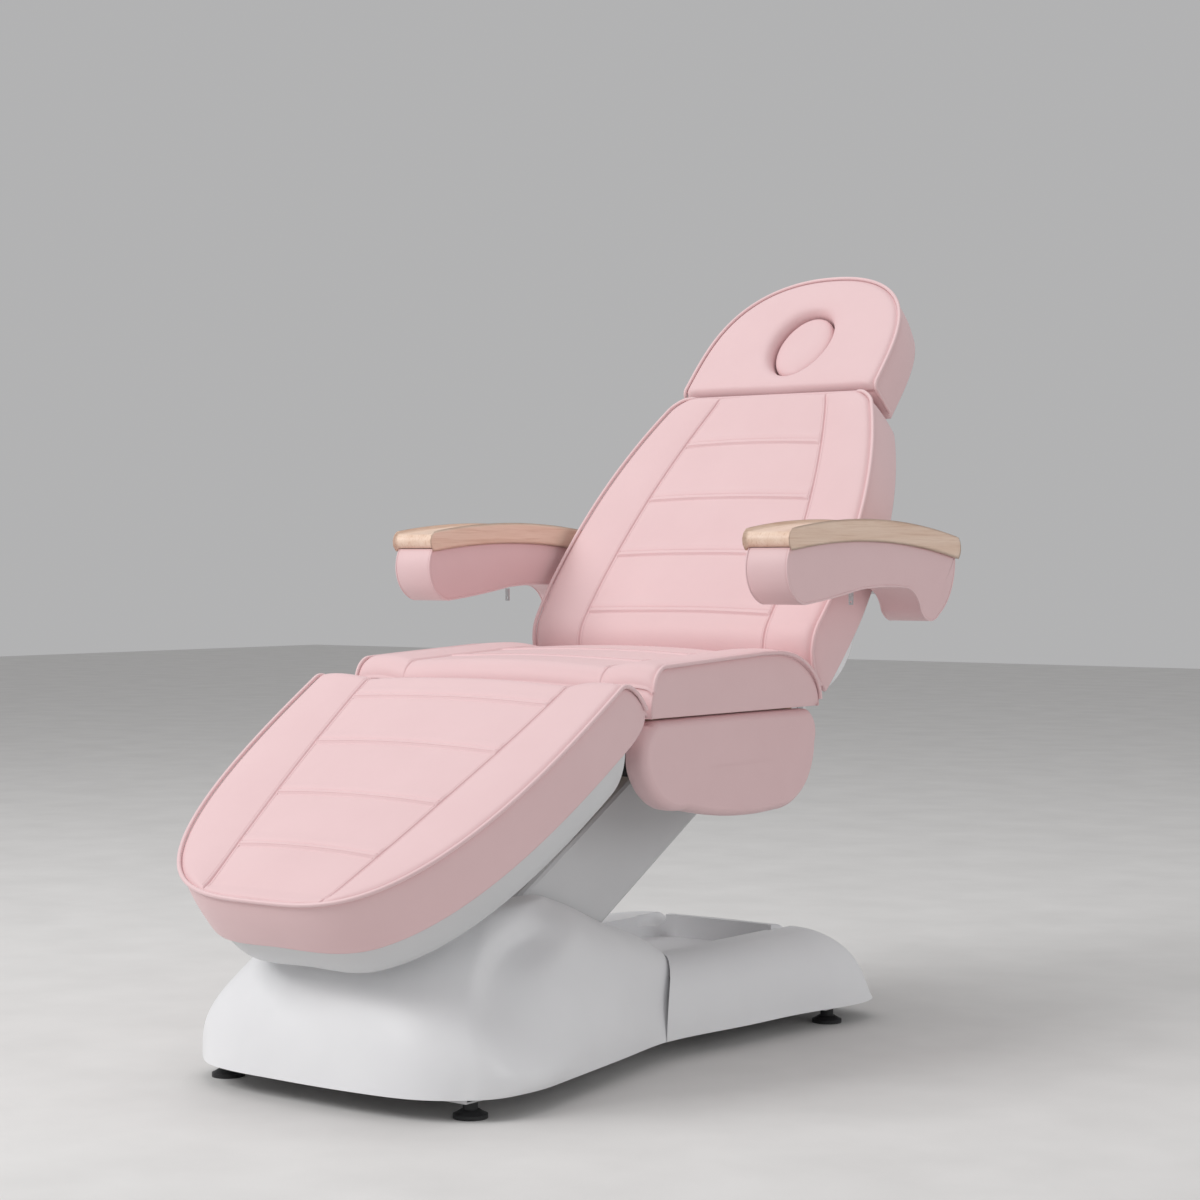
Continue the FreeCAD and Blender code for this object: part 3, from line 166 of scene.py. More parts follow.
def moulded(name, deep, light, roughness, grain_scale=1400, grain=0.00008):
    """Moulded plastic or powder coat: fine orange-peel grain and a faint change of tone."""
    made = Shader(name, roughness, Specular_IOR_Level=0.45)
    made.colour(made.tones(made.noise(scale=5, roughness=0.55), deep, light))
    made.rough(made.span(made.noise(scale=40), roughness - 0.05, roughness + 0.07))
    made.bump(made.noise(grain_scale, detail=2), distance=grain, strength=0.5)
    return made.material


def steel(name, deep, light, roughness):
    """Brushed steel: fine streaks along Y in tone, gloss and relief."""
    made = Shader(name, roughness, Metallic=1.0)
    streak = made.noise(scale=300, detail=4, roughness=0.6, vector=made.stretched((1, 0.08, 1)))
    made.colour(made.tones(streak, deep, light))
    made.rough(made.span(streak, roughness - 0.06, roughness + 0.1))
    made.bump(streak, distance=0.00003, strength=0.4)
    return made.material


def wood(name, deep, light, roughness, scale=1.0):
    """Light lacquered wood: long streaks along the armrest, with fine pores."""
    made = Shader(name, roughness, Specular_IOR_Level=0.4, Coat_Weight=0.12, Coat_Roughness=0.3)

    def along(x, y, z):
        return made.stretched((x * scale, y * scale, z * scale))

    warp = made.noise(scale=2.2, detail=4, roughness=0.6, vector=along(26, 1.6, 26))
    rings = made.noise(scale=5.5, detail=5, roughness=0.65, vector=along(60, 1.1, 34))
    pores = made.noise(scale=30, detail=2, vector=along(40, 1.5, 40))
    broad = made.tones(warp, deep, light, low=0.32, high=0.68)
    middle = tuple((a + b) / 2 for a, b in zip(deep, light))
    narrow = made.ramp(rings, [(0.36, deep), (0.5, light), (0.66, middle)])
    made.colour(made.mix(0.5, broad, narrow))
    made.rough(made.span(pores, roughness - 0.05, roughness + 0.12))
    made.bump(made.total(rings, pores, weight=0.6), distance=0.00012, strength=0.5)
    return made.material


PINK = leather("pink_leather", (0.785, 0.550, 0.560), (0.805, 0.570, 0.580))
# The piping is the same leather as the top, painted a shade lighter as a painted highlight along the
# cords; it is also a little glossier.
PIPING = leather("pink_piping", (0.800, 0.570, 0.580), (0.820, 0.590, 0.600), roughness=0.4)
THREAD = moulded("pink_thread", (0.760, 0.525, 0.535), (0.800, 0.565, 0.575), 0.6, 2500)
WHITE = moulded("white_cover", (0.830, 0.832, 0.848), (0.870, 0.872, 0.885), 0.34)
# The same white plastic painted darker, as painted shade, for the leg rest's pan and the lift arm's
# cover, which lie in shade under the bed.
SHADED_WHITE = moulded("white_cover_painted_shade", (0.640, 0.645, 0.655), (0.675, 0.680, 0.690), 0.38)  # pan and arm
COAT = moulded("white_powder_coat", (0.74, 0.74, 0.75), (0.79, 0.79, 0.80), 0.42, 2200, 0.00012)
BLACK = moulded("black_plastic", (0.012, 0.012, 0.013), (0.026, 0.026, 0.028), 0.5, 1100, 0.0001)
BRIGHT = steel("bright_steel", (0.50, 0.50, 0.51), (0.66, 0.66, 0.67), 0.28)
BEECH = wood("beech", (0.690, 0.460, 0.335), (0.890, 0.690, 0.560), 0.42)
PLYWOOD = wood("plywood", (0.42, 0.29, 0.17), (0.56, 0.42, 0.27), 0.62, scale=0.7)

SLOT_MATERIAL = {
    "pink_leather": PINK,
    "white_plastic": WHITE,
    "white_steel": COAT,
    "bright_steel": BRIGHT,
    "black_plastic": BLACK,
    "beech": BEECH,
    "board": PLYWOOD,
}
for part in frame["record"]["subparts"]:
    node = nodes[part["node"]]
    node.data.materials.clear()
    node.data.materials.append(SLOT_MATERIAL[part["material_slot"]])
# Painted shade: the pan and the arm cover take the darker copy of the white plastic.
for name in ("legrest_shell", "lift_arm_cover"):
    nodes[name].data.materials[0] = SHADED_WHITE


# Mesh helpers


def show(name, data):
    """A new object in the scene."""
    made = bpy.data.objects.new(name, data)
    scene.collection.objects.link(made)
    return made


def dressed(name, mesh, material, body):
    """A smooth piece that moves with a body."""
    mesh.polygons.foreach_set("use_smooth", [True] * len(mesh.polygons))
    mesh.materials.clear()
    mesh.materials.append(material)
    made = show(name, mesh)
    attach(made, body)
    return made


def build(name, points, faces, place, material, body, slot):
    """A piece from points in a panel's level drawing."""
    matrix = placing(place)
    mesh = bpy.data.meshes.new(name)
    mesh.from_pydata([matrix @ Vector(p) for p in points], [], faces)
    mesh.validate()
    return dressed(name, mesh, material, body)


def tube(name, paths, radius, place, material, body, slot, closed=False):
    """A round cord through points in a panel's level drawing, as a mesh."""
    matrix = placing(place)
    curve = bpy.data.curves.new(name + "_line", "CURVE")
    curve.dimensions = "3D"
    curve.bevel_depth = radius * MM
    curve.bevel_resolution = 3
    curve.use_fill_caps = not closed
    for path in paths:
        spline = curve.splines.new("POLY")
        spline.points.add(len(path) - 1)
        for point, spot in zip(spline.points, path):
            point.co = (*(matrix @ Vector(spot)), 1)
        spline.use_cyclic_u = closed
    line = bpy.data.objects.new(name + "_line", curve)
    mesh = bpy.data.meshes.new_from_object(line)
    mesh.name = name
    bpy.data.objects.remove(line)
    dressed(name, mesh, material, body)


def bridge(first, second):
    """Quads between two closed loops of vertex numbers."""
    count = len(first)
    return [(first[i], first[(i + 1) % count], second[(i + 1) % count], second[i]) for i in range(count)]


def ripple(x, y, z, scale, height):
    """Soft unevenness of foam and stretched leather."""
    return height * noise.noise(Vector((x, y, z)) / scale)


def bell(distance, width):
    """A smooth bump: 1 at no distance, and nearly 0 at twice the width."""
    return math.exp(-((distance / width) ** 2))


def hump(distance, height, width):
    """The same with a height."""
    return height * bell(distance, width)


def end_drop(distance, length, height):
    """How far a rounded end falls below the level run, at a distance from its tip."""
    if distance >= length:
        return 0
    share = (length - max(distance, 0)) / length
    return height * (1 - math.sqrt(1 - share * share))


def outward_ways(points):
    """Directions out of an outline that runs counter-clockwise."""
    count = len(points)
    ways = []
    for i in range(count):
        run = points[(i + 1) % count] - points[i - 1]
        ways.append(Vector((run.y, -run.x)).normalized())
    return ways


# Panels: crowned cushions with side rolls, sewn channels, boxed sides and piped edges

PIPE_RADIUS = 3.3
PIPE_OUT, PIPE_DOWN = 2.8, 2.2  # from a panel's edge to the middle of its piping
ROLL_HEIGHT = 5  # swell of a side roll
FULL_ROLL = 45  # width from which a side roll has its full swell
TIP_FADE = 80  # length over which the crown runs out at the leg rest's tip
EDGE_FADE = 14  # distance from the edge over which the top comes to its full form
TUCK = (5.0, 6.5)  # depth and width by which the top is drawn down beside the piping
CREASE = (2.4, 1.5)  # depth and width of the groove along a lengthwise seam
CREASE_FADE = 12  # distance from the edge over which that groove deepens
LIP_OFF, LIP = 3.2, (0.7, 1.8)  # the raised lips beside the groove: distance, height and width
TOP_RIPPLE = (120, 0.6)  # size and height of the top's unevenness
CHANNEL_CROWN = 0.6  # share of the crown that is left at a sewn channel
CHANNEL_FADE = 22  # distance from a channel over which the crown comes back
CHANNEL_REACH = 30  # distance from a channel within which it has any form
CHANNEL_ROWS = 27  # distance from a channel within which its own rows of points stand
CHANNEL_END = 5  # distance from a lengthwise seam over which a channel runs out
RISE_OFF, RISE = 7, (2.0, 8)  # the soft rise before a channel's groove
WELT_OFF, WELT_HALF, WELT_HEIGHT = 5, 4.8, 2.2  # the flat welt of a lapped seam
GROOVES = ((0, 1.2, 1.0), (11.5, 1.2, 2.4))  # distance, depth and width of the grooves beside it
SWELL, SWELL_POWER = 3.2, 0.8  # how far a boxed side stands out at half its height
UNDERCUT = (4.0, 5)  # how far a side is drawn in under the piping, and over what depth
SIDE_RIPPLE = (70, 0.8)  # size and height of a side's unevenness
STITCH, STITCH_GAP, STITCH_RADIUS = 3.6, 1.6, 0.42
STITCH_LIFT = 0.15  # height of a stitch's middle above the leather
SEAM_STITCH_OFF = 5.5  # distance of the stitches from a lengthwise seam, on both sides
SEAM_STITCH_ENDS = (18, 16)  # where these start and stop, from the panel's two ends
CHANNEL_STITCH_OFF = 7.5  # distance of the stitches from a channel's groove, along its welt
CHANNEL_STITCH_END = 7  # where these start and stop, from the lengthwise seams
ROW_STEP, PIPE_STEP = 6, 4  # spacing of the points along a panel and along its piping
OUTLINE_STEP = 0.25  # step in which a panel's outline is measured
MOST_SEAM = 0.86  # greatest distance of a lengthwise seam from the middle, as a share of half the width
UNEVEN = 0.25  # share between two spacings under which the nearer neighbour alone gives a direction
ROLL_SHARES = (0, 0.008, 0.016, 0.026, 0.04, 0.06, 0.09, 0.13, 0.19, 0.27, 0.36, 0.46, 0.56, 0.66)
ROLL_SHARES += (0.75, 0.83, 0.89, 0.93, 0.955, 0.972, 0.984, 0.993, 1)
MIDDLE_SHARES = (0, 0.12, 0.25, 0.38, 0.5, 0.61, 0.71, 0.79, 0.855, 0.9, 0.93, 0.952, 0.968)
MIDDLE_SHARES += (0.979, 0.987, 0.992, 0.996)
CHANNEL_STEPS = (-26, -20, -15, -11, -8, -5.5, -3.6, -2.3, -1.4, -0.7, 0, 0.7, 1.4, 2.4, 3.6, 5)
CHANNEL_STEPS += (6.4, 7.8, 8.8, 9.6, 10.4, 11.4, 12.6, 14, 16.5, 20, 26)
WALL_SHARES = (0.015, 0.03, 0.05, 0.08, 0.15, 0.25, 0.38, 0.5, 0.62, 0.75, 0.86, 0.94, 0.98, 1)


def undercut(depth):
    """How far a boxed side is drawn in under its piping, at a depth below it."""
    reach, fade = UNDERCUT
    return reach * math.exp(-depth / fade)


class Panel:
    """One upholstered panel, drawn level: u runs away from its hinge end, w is up.

    half, edge, low and seam give, for a u, half the width, the height of the edge, the height of the
    underside and the distance of the lengthwise seams from the middle.
    """

    def __init__(self, place, way, start, end, half, edge, low, seam, **details):
        self.place = place
        self.way = way  # +1 or -1: the level drawing's Y for a positive u
        self.start = start
        self.end = end
        self.half = half
        self.edge = edge
        self.low = low
        self.seam = seam
        self.channels = details["channels"]
        self.lap = details["lap"]  # +1: a channel's welt lies beyond its groove, -1: on the hinge side
        self.inset = details["inset"]  # how far the sides are drawn in at the underside
        self.piped_end = details["piped_end"]  # whether the piping runs round the far end
        self.crown = details["crown"]  # swell of the field between the side rolls
        self.dip = details["dip"]  # how far that field lies below the edge
        self.tipped = way < 0  # the leg rest alone ends in a narrow tip

    def from_edge(self, x, u):
        """Distance of a point of the top from the panel's piped edge."""
        slope = self.half(min(u + 0.5, self.end)) - self.half(u - 0.5)
        side = max(0, self.half(u) - abs(x)) / math.hypot(1, slope)
        return min(side, self.end - u) if self.piped_end else side

    def top(self, x, u):
        """Height of the upper surface."""
        half, seam = self.half(u), self.seam(u)
        across = abs(x)
        inside = self.from_edge(x, u)
        roll = min(1, max(0, half - seam) / FULL_ROLL)
        if across >= seam:
            share = (across - seam) / max(half - seam, 1)
            swell = ROLL_HEIGHT * (1 - (2 * share - 1) ** 2)
            height = roll * (swell - self.dip * (1 - share) ** 1.6)
        else:
            share = across / seam
            tip = min(1, (self.end - u) / TIP_FADE) if self.tipped else 1
            height = self.crown * (1 - share**2) * self.fullness(u) * tip - self.dip * roll
            height += self.channel(u) * (1 - bell(seam - across, CHANNEL_END))
        calm = 1 - math.exp(-inside / EDGE_FADE)
        lips = hump(abs(across - seam) - LIP_OFF, *LIP)
        crease = (hump(across - seam, *CREASE) - lips) * min(1, inside / CREASE_FADE)
        tuck = hump(inside, *TUCK)
        return self.edge(u) + calm * height - crease - tuck + calm * ripple(x, u, 0, *TOP_RIPPLE)

    def fullness(self, u):
        """Share of the crown that is left: full inside a field, low along its sewn channels."""
        nearest = min(abs(u - c) for c in self.channels)
        return CHANNEL_CROWN + (1 - CHANNEL_CROWN) * (1 - math.exp(-nearest / CHANNEL_FADE))

    def channel(self, u):
        """A lapped seam: a soft rise, a fine groove, a flat welt and the step down from it."""
        height = 0
        for c in self.channels:
            run = (u - c) * self.lap
            if abs(run) > CHANNEL_REACH:
                continue
            welt = WELT_HEIGHT * math.exp(-(((run - WELT_OFF) / WELT_HALF) ** 4))
            groove = sum(hump(run - off, depth, width) for off, depth, width in GROOVES)
            height += hump(run + RISE_OFF, *RISE) + welt - groove
        return height

    def columns(self, u):
        """X of the points across the top at one station."""
        half = self.half(u)
        seam = min(self.seam(u), MOST_SEAM * half)
        right = [seam + (half - seam) * s for s in ROLL_SHARES]
        middle = [seam * s for s in MIDDLE_SHARES]
        positive = middle[1:] + right
        return [-x for x in reversed(positive)] + [0] + positive

    def rows(self, step):
        """Stations along the panel: evenly spaced along its outline, closer at channels and ends."""
        places = [self.start]
        run = 0
        u = self.start
        while u < self.end:
            ahead = min(u + OUTLINE_STEP, self.end)
            rise = abs(self.edge(ahead) - self.edge(u))
            run += math.hypot(math.hypot(ahead - u, self.half(ahead) - self.half(u)), rise)
            u = ahead
            if run >= step or u >= self.end:
                places.append(u)
                run = 0
        near = {c + self.lap * s for c in self.channels for s in CHANNEL_STEPS}
        kept = [p for p in places if all(abs(p - c) > CHANNEL_ROWS for c in self.channels)]
        return sorted(set(kept) | {n for n in near if self.start < n < self.end})

    def mesh(self, name, body, node):
        """The top as a grid, the boxed sides as loops below its edge, and the underside as one face."""
        points, grid = [], []
        for u in self.rows(ROW_STEP):
            line = []
            for x in self.columns(u):
                line.append(len(points))
                points.append((x, self.way * u, self.top(x, u)))
            grid.append(line)
        width = len(grid[0])
        faces = [
            (grid[r][c], grid[r][c + 1], grid[r + 1][c + 1], grid[r + 1][c])
            for r in range(len(grid) - 1)
            for c in range(width - 1)
        ]
        right = [line[-1] for line in grid]
        left = [line[0] for line in grid]
        ring = right + grid[-1][-2:0:-1] + left[::-1] + grid[0][1:-1]
        spots = [points[i] for i in ring]
        ways = self.outward(spots)
        before = ring
        for share in WALL_SHARES:
            loop = []
            for (x, y, w), (out_x, out_y) in zip(spots, ways):
                low = self.low(self.way * y)
                depth = (w - low) * share
                bulge = math.sin(math.pi * share)
                off = SWELL * bulge**SWELL_POWER - undercut(depth)
                off -= self.inset * share * abs(out_x)
                off += bulge * ripple(x, y, w - depth, *SIDE_RIPPLE)
                loop.append(len(points))
                points.append((x + out_x * off, y + out_y * off, w - depth))
            faces += bridge(before, loop)
            before = loop
        faces.append(tuple(before))
        if self.way < 0:
            faces = [tuple(reversed(f)) for f in faces]
        made = build(name, points, faces, self.place, PINK, body, "pink_leather")
        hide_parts(node)

    def outward(self, spots):
        """Plan directions out of the panel, for the points of its edge."""
        count = len(spots)
        ways = []
        for i in range(count):
            here, ahead, behind = spots[i], spots[(i + 1) % count], spots[i - 1]
            after = Vector((ahead[0] - here[0], ahead[1] - here[1]))
            before = Vector((here[0] - behind[0], here[1] - behind[1]))
            run = after + before
            if min(after.length, before.length) < UNEVEN * max(after.length, before.length):
                run = min(after, before, key=lambda step: step.length)
            side = Vector((run.y, -run.x)) * self.way
            ways.append(side.normalized() if side.length > 1e-9 else Vector((0, 0)))
        return ways

    def edge_path(self):
        """The piped edge: along both sides, and round the far end where that is piped too."""
        rows = self.rows(PIPE_STEP)
        right = [(self.half(u) + PIPE_OUT, self.way * u, self.edge(u) - PIPE_DOWN) for u in rows]
        left = [(-x, y, w) for x, y, w in right]
        if self.piped_end:
            return [right + left[::-1]]
        return [right, left]

    def piping(self, name, body):
        tube(name, self.edge_path(), PIPE_RADIUS, self.place, PIPING, body, "pink_leather")

    def stitching(self, name, body):
        """Rows of stitches beside the lengthwise seams and along the sewn channels."""
        first, last = SEAM_STITCH_ENDS
        lines = []
        for side in (-1, 1):
            for off in (-SEAM_STITCH_OFF, SEAM_STITCH_OFF):
                run = self.stitch_run(self.start + first, self.end - last)
                lines.append([(side * (self.seam(u) + off), u) for u in run])
        for c in self.channels:
            reach = self.seam(c) - CHANNEL_STITCH_END
            row = c + CHANNEL_STITCH_OFF * self.lap
            lines.append([(x, row) for x in self.stitch_run(-reach, reach)])
        stitches = []
        for line in lines:
            for (x0, u0), (x1, u1) in zip(line[0::2], line[1::2]):
                ends = ((x0, u0), (x1, u1))
                stitches.append([(x, self.way * u, self.top(x, u) + STITCH_LIFT) for x, u in ends])
        tube(name, stitches, STITCH_RADIUS, self.place, THREAD, body, "pink_leather")

    def stitch_run(self, start, end):
        """Ends of the stitches from start to end: a stitch, a gap, a stitch."""
        places = []
        at = start
        while at + STITCH < end:
            places += [at, at + STITCH]
            at += STITCH + STITCH_GAP
        return places


# The three panels, with the solids' own outlines. A roll is the length and depth of a rounded end.

EDGE_LEVEL = 8  # height of the edges of leg rest and backrest in their level drawings
LEG_HALF = 306
LEG_START, LEG_LENGTH = -22, 546
LEG_ROLL = (34, 62)
LEG_LOW, LEG_LOW_ROLL, LEG_TIP_ROLL = -87, (56, 18), (30, 10)
LEG_TIP_TRIM = 0.001  # the mesh stops this far short of the tip, where the outline has no width


def leg_half(u):
    """Half the width: a long rounded taper to the tip."""
    return LEG_HALF * (1 - (max(u, 0) / LEG_LENGTH) ** 2.7) ** (1 / 3.2)


def leg_low(u):
    """The underside, rounded at both ends."""
    return LEG_LOW + end_drop(u - LEG_START, *LEG_LOW_ROLL) + end_drop(LEG_LENGTH - u, *LEG_TIP_ROLL)


LEG = Panel(
    place=LEG_PLACE,
    way=-1,
    start=LEG_START,
    end=LEG_LENGTH - LEG_TIP_TRIM,
    half=leg_half,
    edge=lambda u: EDGE_LEVEL - end_drop(u - LEG_START, *LEG_ROLL),
    low=leg_low,
    seam=lambda u: 202 - 84 * (max(u, 0) / 523) ** 1.35,
    channels=(47, 166, 294, 418),
    lap=1,
    inset=6,
    piped_end=True,
    crown=9,
    dip=6,
)

SEAT_START, SEAT_END = 77, 541
SEAT_HALF, SEAT_SEAM = 300, 200
SEAT_LEVEL, SEAT_LOW = 639, 545.5
SEAT_FRONT_ROLL, SEAT_REAR_ROLL = (30, 36), (130, 80)


def seat_edge(y):
    """Falling gently to the front, with a rounded front end and a longer rounded rear end."""
    fall = 13 * max(0, (374 - y) / 271)
    front = end_drop(y - SEAT_START, *SEAT_FRONT_ROLL)
    rear = end_drop(SEAT_END - y, *SEAT_REAR_ROLL)
    return SEAT_LEVEL - fall - front - rear


SEAT = Panel(
    place=LEVEL,
    way=1,
    start=SEAT_START,
    end=SEAT_END,
    half=lambda y: SEAT_HALF,
    edge=seat_edge,
    low=lambda y: SEAT_LOW,
    seam=lambda y: SEAT_SEAM,
    channels=(200, 330),
    lap=-1,
    inset=6,
    piped_end=False,
    crown=7,
    dip=4,
)

BACK_START, BACK_END = -97, 487
BACK_HALF = 300
BACK_LOW = -89
BACK_ROLL, BACK_TOP_ROLL = (75, 78), (10, 8)
BACK_CORNER = (455, 488)  # where the rounded upper corners begin, and where they would end


def back_half(u):
    """Half the width: tapering to the head, a little narrower at the hinge end, with rounded corners."""
    taper = 86 * (max(u, 0) / 460) ** 2.5
    waist = 13 * (max(60 - u, 0) / 157) ** 1.5
    side = BACK_HALF - taper - waist
    corner, tip = BACK_CORNER
    if u <= corner:
        return side
    share = (u - corner) / (tip - corner)
    return side - 38 * (1 - math.sqrt(1 - share * share))


def back_edge(u):
    """Level, with both ends rounded."""
    return EDGE_LEVEL - end_drop(u - BACK_START, *BACK_ROLL) - end_drop(BACK_END - u, *BACK_TOP_ROLL)


BACK = Panel(
    place=BACK_PLACE,
    way=1,
    start=BACK_START,
    end=BACK_END,
    half=back_half,
    edge=back_edge,
    low=lambda u: BACK_LOW,
    seam=lambda u: 194 - 82 * (max(u, 0) / BACK_END) ** 2,
    channels=(0, 125, 250, 376),
    lap=-1,
    inset=-5,
    piped_end=True,
    crown=9,
    dip=6,
)
for name, panel in (("legrest", LEG), ("seat", SEAT), ("backrest", BACK)):
    panel.mesh(name + "_upholstery", name, name + "_cushion")
    panel.piping(name + "_piping", name)
    panel.stitching(name + "_stitching", name)


# The headrest, as rings from its face hole out to its edge

HEAD_HALF = 204
HEAD_LENGTH = 272
HEAD_START = -16
HEAD_LOW = -84.5
HEAD_TOP = 4  # height of the face at its edge
HEAD_CROWN = (6, 35)  # swell of the face, and the distance from the edge over which it rises
HEAD_TUCK = (4.2, 6.5)  # depth and width by which the face is drawn down beside the piping
HEAD_RIPPLE = (80, 0.9)  # size and height of the face's unevenness
HEAD_RIPPLE_FADE = 25  # distance from the edge over which that comes to its full height
RIPPLE_LEVEL = 40  # where the headrest's face lies in the noise
HEAD_SWELL = 4  # how far the headrest's side stands out at half its height
HEAD_INSET = 2  # how far that side is drawn in at the underside
NECK_FLAT = 0.4  # share of both that is left across the neck end
NECK_ROLL = (15, 12)  # length and depth of the rounded neck end
DISH = (22, 7, 0.75)  # depth, width and power of the face's fall into the hole
HOLE_CENTRE = 108
HOLE_HALF = (59, 80)
HOLE_DEPTHS = (HEAD_LOW, -70, -50, -34, -24, -18)
RING = 240  # points round the headrest
SEARCH_REACH, SEARCH_STEPS = 400, 40  # for the outline's distance in one direction, by halving
FACE_SHARES = (0, 0.012, 0.03, 0.05, 0.075, 0.11, 0.15, 0.2, 0.26, 0.33, 0.42, 0.52, 0.62, 0.72, 0.8)
FACE_SHARES += (0.87, 0.91, 0.94, 0.96, 0.975, 0.99, 1)
PIPE_LEVEL = 1.8  # height of the headrest's piping
HEAD_PIPE_OUT = 2.4  # from the headrest's edge to the middle of its piping
PIPE_FALL = 58  # how far the piping runs down each corner of the neck end
PLUG_RING = 96  # points round the plug
# The plug's heights, and its inset from the hole's wall at each
PLUG_LEVELS = (
    (-57, 8),
    (-54, 5),
    (-48, 4),
    (-26, 4),
    (-18, 4.4),
    (-14, 5.6),
    (-11, 8),
    (-8.4, 12),
    (-6.4, 18),
    (-4.6, 26),
    (-3.2, 35),
    (-2.5, 44),
    (-2.2, 51),
)
PLUG_RIPPLE = (45, 0.5)  # size and height of the plug's unevenness
PIPE_COUNT, PIPE_TURN = 200, 8  # steps of the piping round the crown, and over each corner


def head_half(u):
    share = min(1, max(u, 0) / HEAD_LENGTH)
    return HEAD_HALF * (1 - share**3.2) ** (1 / 2.2)


def head_edge(angle):
    """The point of the headrest's outline in one direction from the hole's middle."""
    step_x, step_y = math.cos(angle), math.sin(angle)
    near, far = 0, SEARCH_REACH
    for _ in range(SEARCH_STEPS):
        reach = (near + far) / 2
        x, u = abs(reach * step_x), HOLE_CENTRE + reach * step_y
        inside = HEAD_START < u < HEAD_LENGTH and x < head_half(u)
        near, far = (reach, far) if inside else (near, reach)
    return near * step_x, HOLE_CENTRE + near * step_y


def hole_edge(angle, inset=0):
    half_x, half_u = HOLE_HALF
    return (half_x - inset) * math.cos(angle), HOLE_CENTRE + (half_u - inset) * math.sin(angle)


def head_height(x, u, from_hole, from_edge):
    """Height of the headrest's face: crowned, rolled over the neck end, and dished into the hole."""
    swell, fade = HEAD_CROWN
    crown = swell * (1 - math.exp(-from_edge / fade)) - hump(from_edge, *HEAD_TUCK)
    neck = end_drop(u - HEAD_START, *NECK_ROLL)
    depth, width, power = DISH
    dish = depth * math.exp(-((from_hole / width) ** power))
    calm = min(1, from_edge / HEAD_RIPPLE_FADE)
    return HEAD_TOP + crown - neck - dish + calm * ripple(x, u, RIPPLE_LEVEL, *HEAD_RIPPLE)


def headrest():
    """Loops up the hole's wall, over the face, down the side, and back to the hole underneath."""
    angles = [2 * math.pi * i / RING for i in range(RING)]
    outline = [head_edge(angle) for angle in angles]
    hole = [hole_edge(angle) for angle in angles]
    points, faces, loops = [], [], []

    def loop(ring):
        loops.append(list(range(len(points), len(points) + RING)))
        points.extend(ring)
        if len(loops) > 1:
            faces.extend(bridge(loops[-2], loops[-1]))

    for depth in HOLE_DEPTHS:
        loop([(x, u, depth) for x, u in hole])
    for share in FACE_SHARES:
        rim = []
        for (hole_x, hole_u), (out_x, out_u) in zip(hole, outline):
            x, u = hole_x + (out_x - hole_x) * share, hole_u + (out_u - hole_u) * share
            run = math.hypot(out_x - hole_x, out_u - hole_u)
            rim.append((x, u, head_height(x, u, run * share, run * (1 - share))))
        loop(rim)
    ways = outward_ways([Vector((x, u)) for x, u, w in rim])
    for share in WALL_SHARES:
        ring = []
        for (x, u, w), way in zip(rim, ways):
            depth = (w - HEAD_LOW) * share
            off = HEAD_SWELL * math.sin(math.pi * share) - HEAD_INSET * share - undercut(depth)
            if way.y < 0:
                off *= NECK_FLAT + (1 - NECK_FLAT) * abs(way.x)
            ring.append((x + way.x * off, u + way.y * off, w - depth))
        loop(ring)
    faces += bridge(loops[-1], loops[0])
    made = build("headrest_upholstery", points, faces, HEAD_PLACE, PINK, "headrest", "pink_leather")
    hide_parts("headrest_cushion")


def headrest_piping():
    """Up the edge of the neck end, round the crown and down the other edge."""
    roll_length, roll_depth = NECK_ROLL
    corner = math.atan2(HOLE_CENTRE - HEAD_START - roll_length, head_half(0))
    path = []
    for i in range(PIPE_COUNT + 1):
        angle = -corner + (math.pi + 2 * corner) * i / PIPE_COUNT
        x, u = head_edge(angle)
        out_x, out_u = HEAD_PIPE_OUT * math.cos(angle), HEAD_PIPE_OUT * math.sin(angle)
        path.append((x + out_x, u + out_u, PIPE_LEVEL))
    steps = [(i + 1) / PIPE_TURN for i in range(PIPE_TURN)]
    turn = []
    for step in steps:
        u = HEAD_START + roll_length * (1 - math.sin(step * math.pi / 2))
        level = PIPE_LEVEL - end_drop(u - HEAD_START, *NECK_ROLL)
        turn.append((head_half(u) + HEAD_PIPE_OUT, u, level))
    level = PIPE_LEVEL - roll_depth
    for step in steps:
        turn.append((head_half(0) + HEAD_PIPE_OUT + step, HEAD_START, level - PIPE_FALL * step))
    far = [(-x, u, w) for x, u, w in turn]
    path = turn[::-1] + path + far
    tube("headrest_piping", [path], PIPE_RADIUS, HEAD_PLACE, PIPING, "headrest", "pink_leather")


def face_plug():
    """The plug: an oval pad with a soft rim and a flat crowned top, below the face around it."""
    points, loops = [], []
    for w, inset in PLUG_LEVELS:
        loops.append(list(range(len(points), len(points) + PLUG_RING)))
        for i in range(PLUG_RING):
            x, u = hole_edge(2 * math.pi * i / PLUG_RING, inset)
            points.append((x, u, w + ripple(x, u, w, *PLUG_RIPPLE)))
    faces = [f for first, second in zip(loops, loops[1:]) for f in bridge(first, second)]
    faces.append(tuple(loops[-1]))
    faces.append(tuple(reversed(loops[0])))
    made = build("face_plug_pad", points, faces, HEAD_PLACE, PINK, "face_plug", "pink_leather")
    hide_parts("face_plug")


headrest()
headrest_piping()
face_plug()


# Pieces drawn in side view: armrests and side pads

STRAIGHT = 1e-6  # three points with a smaller triangle lie on one line


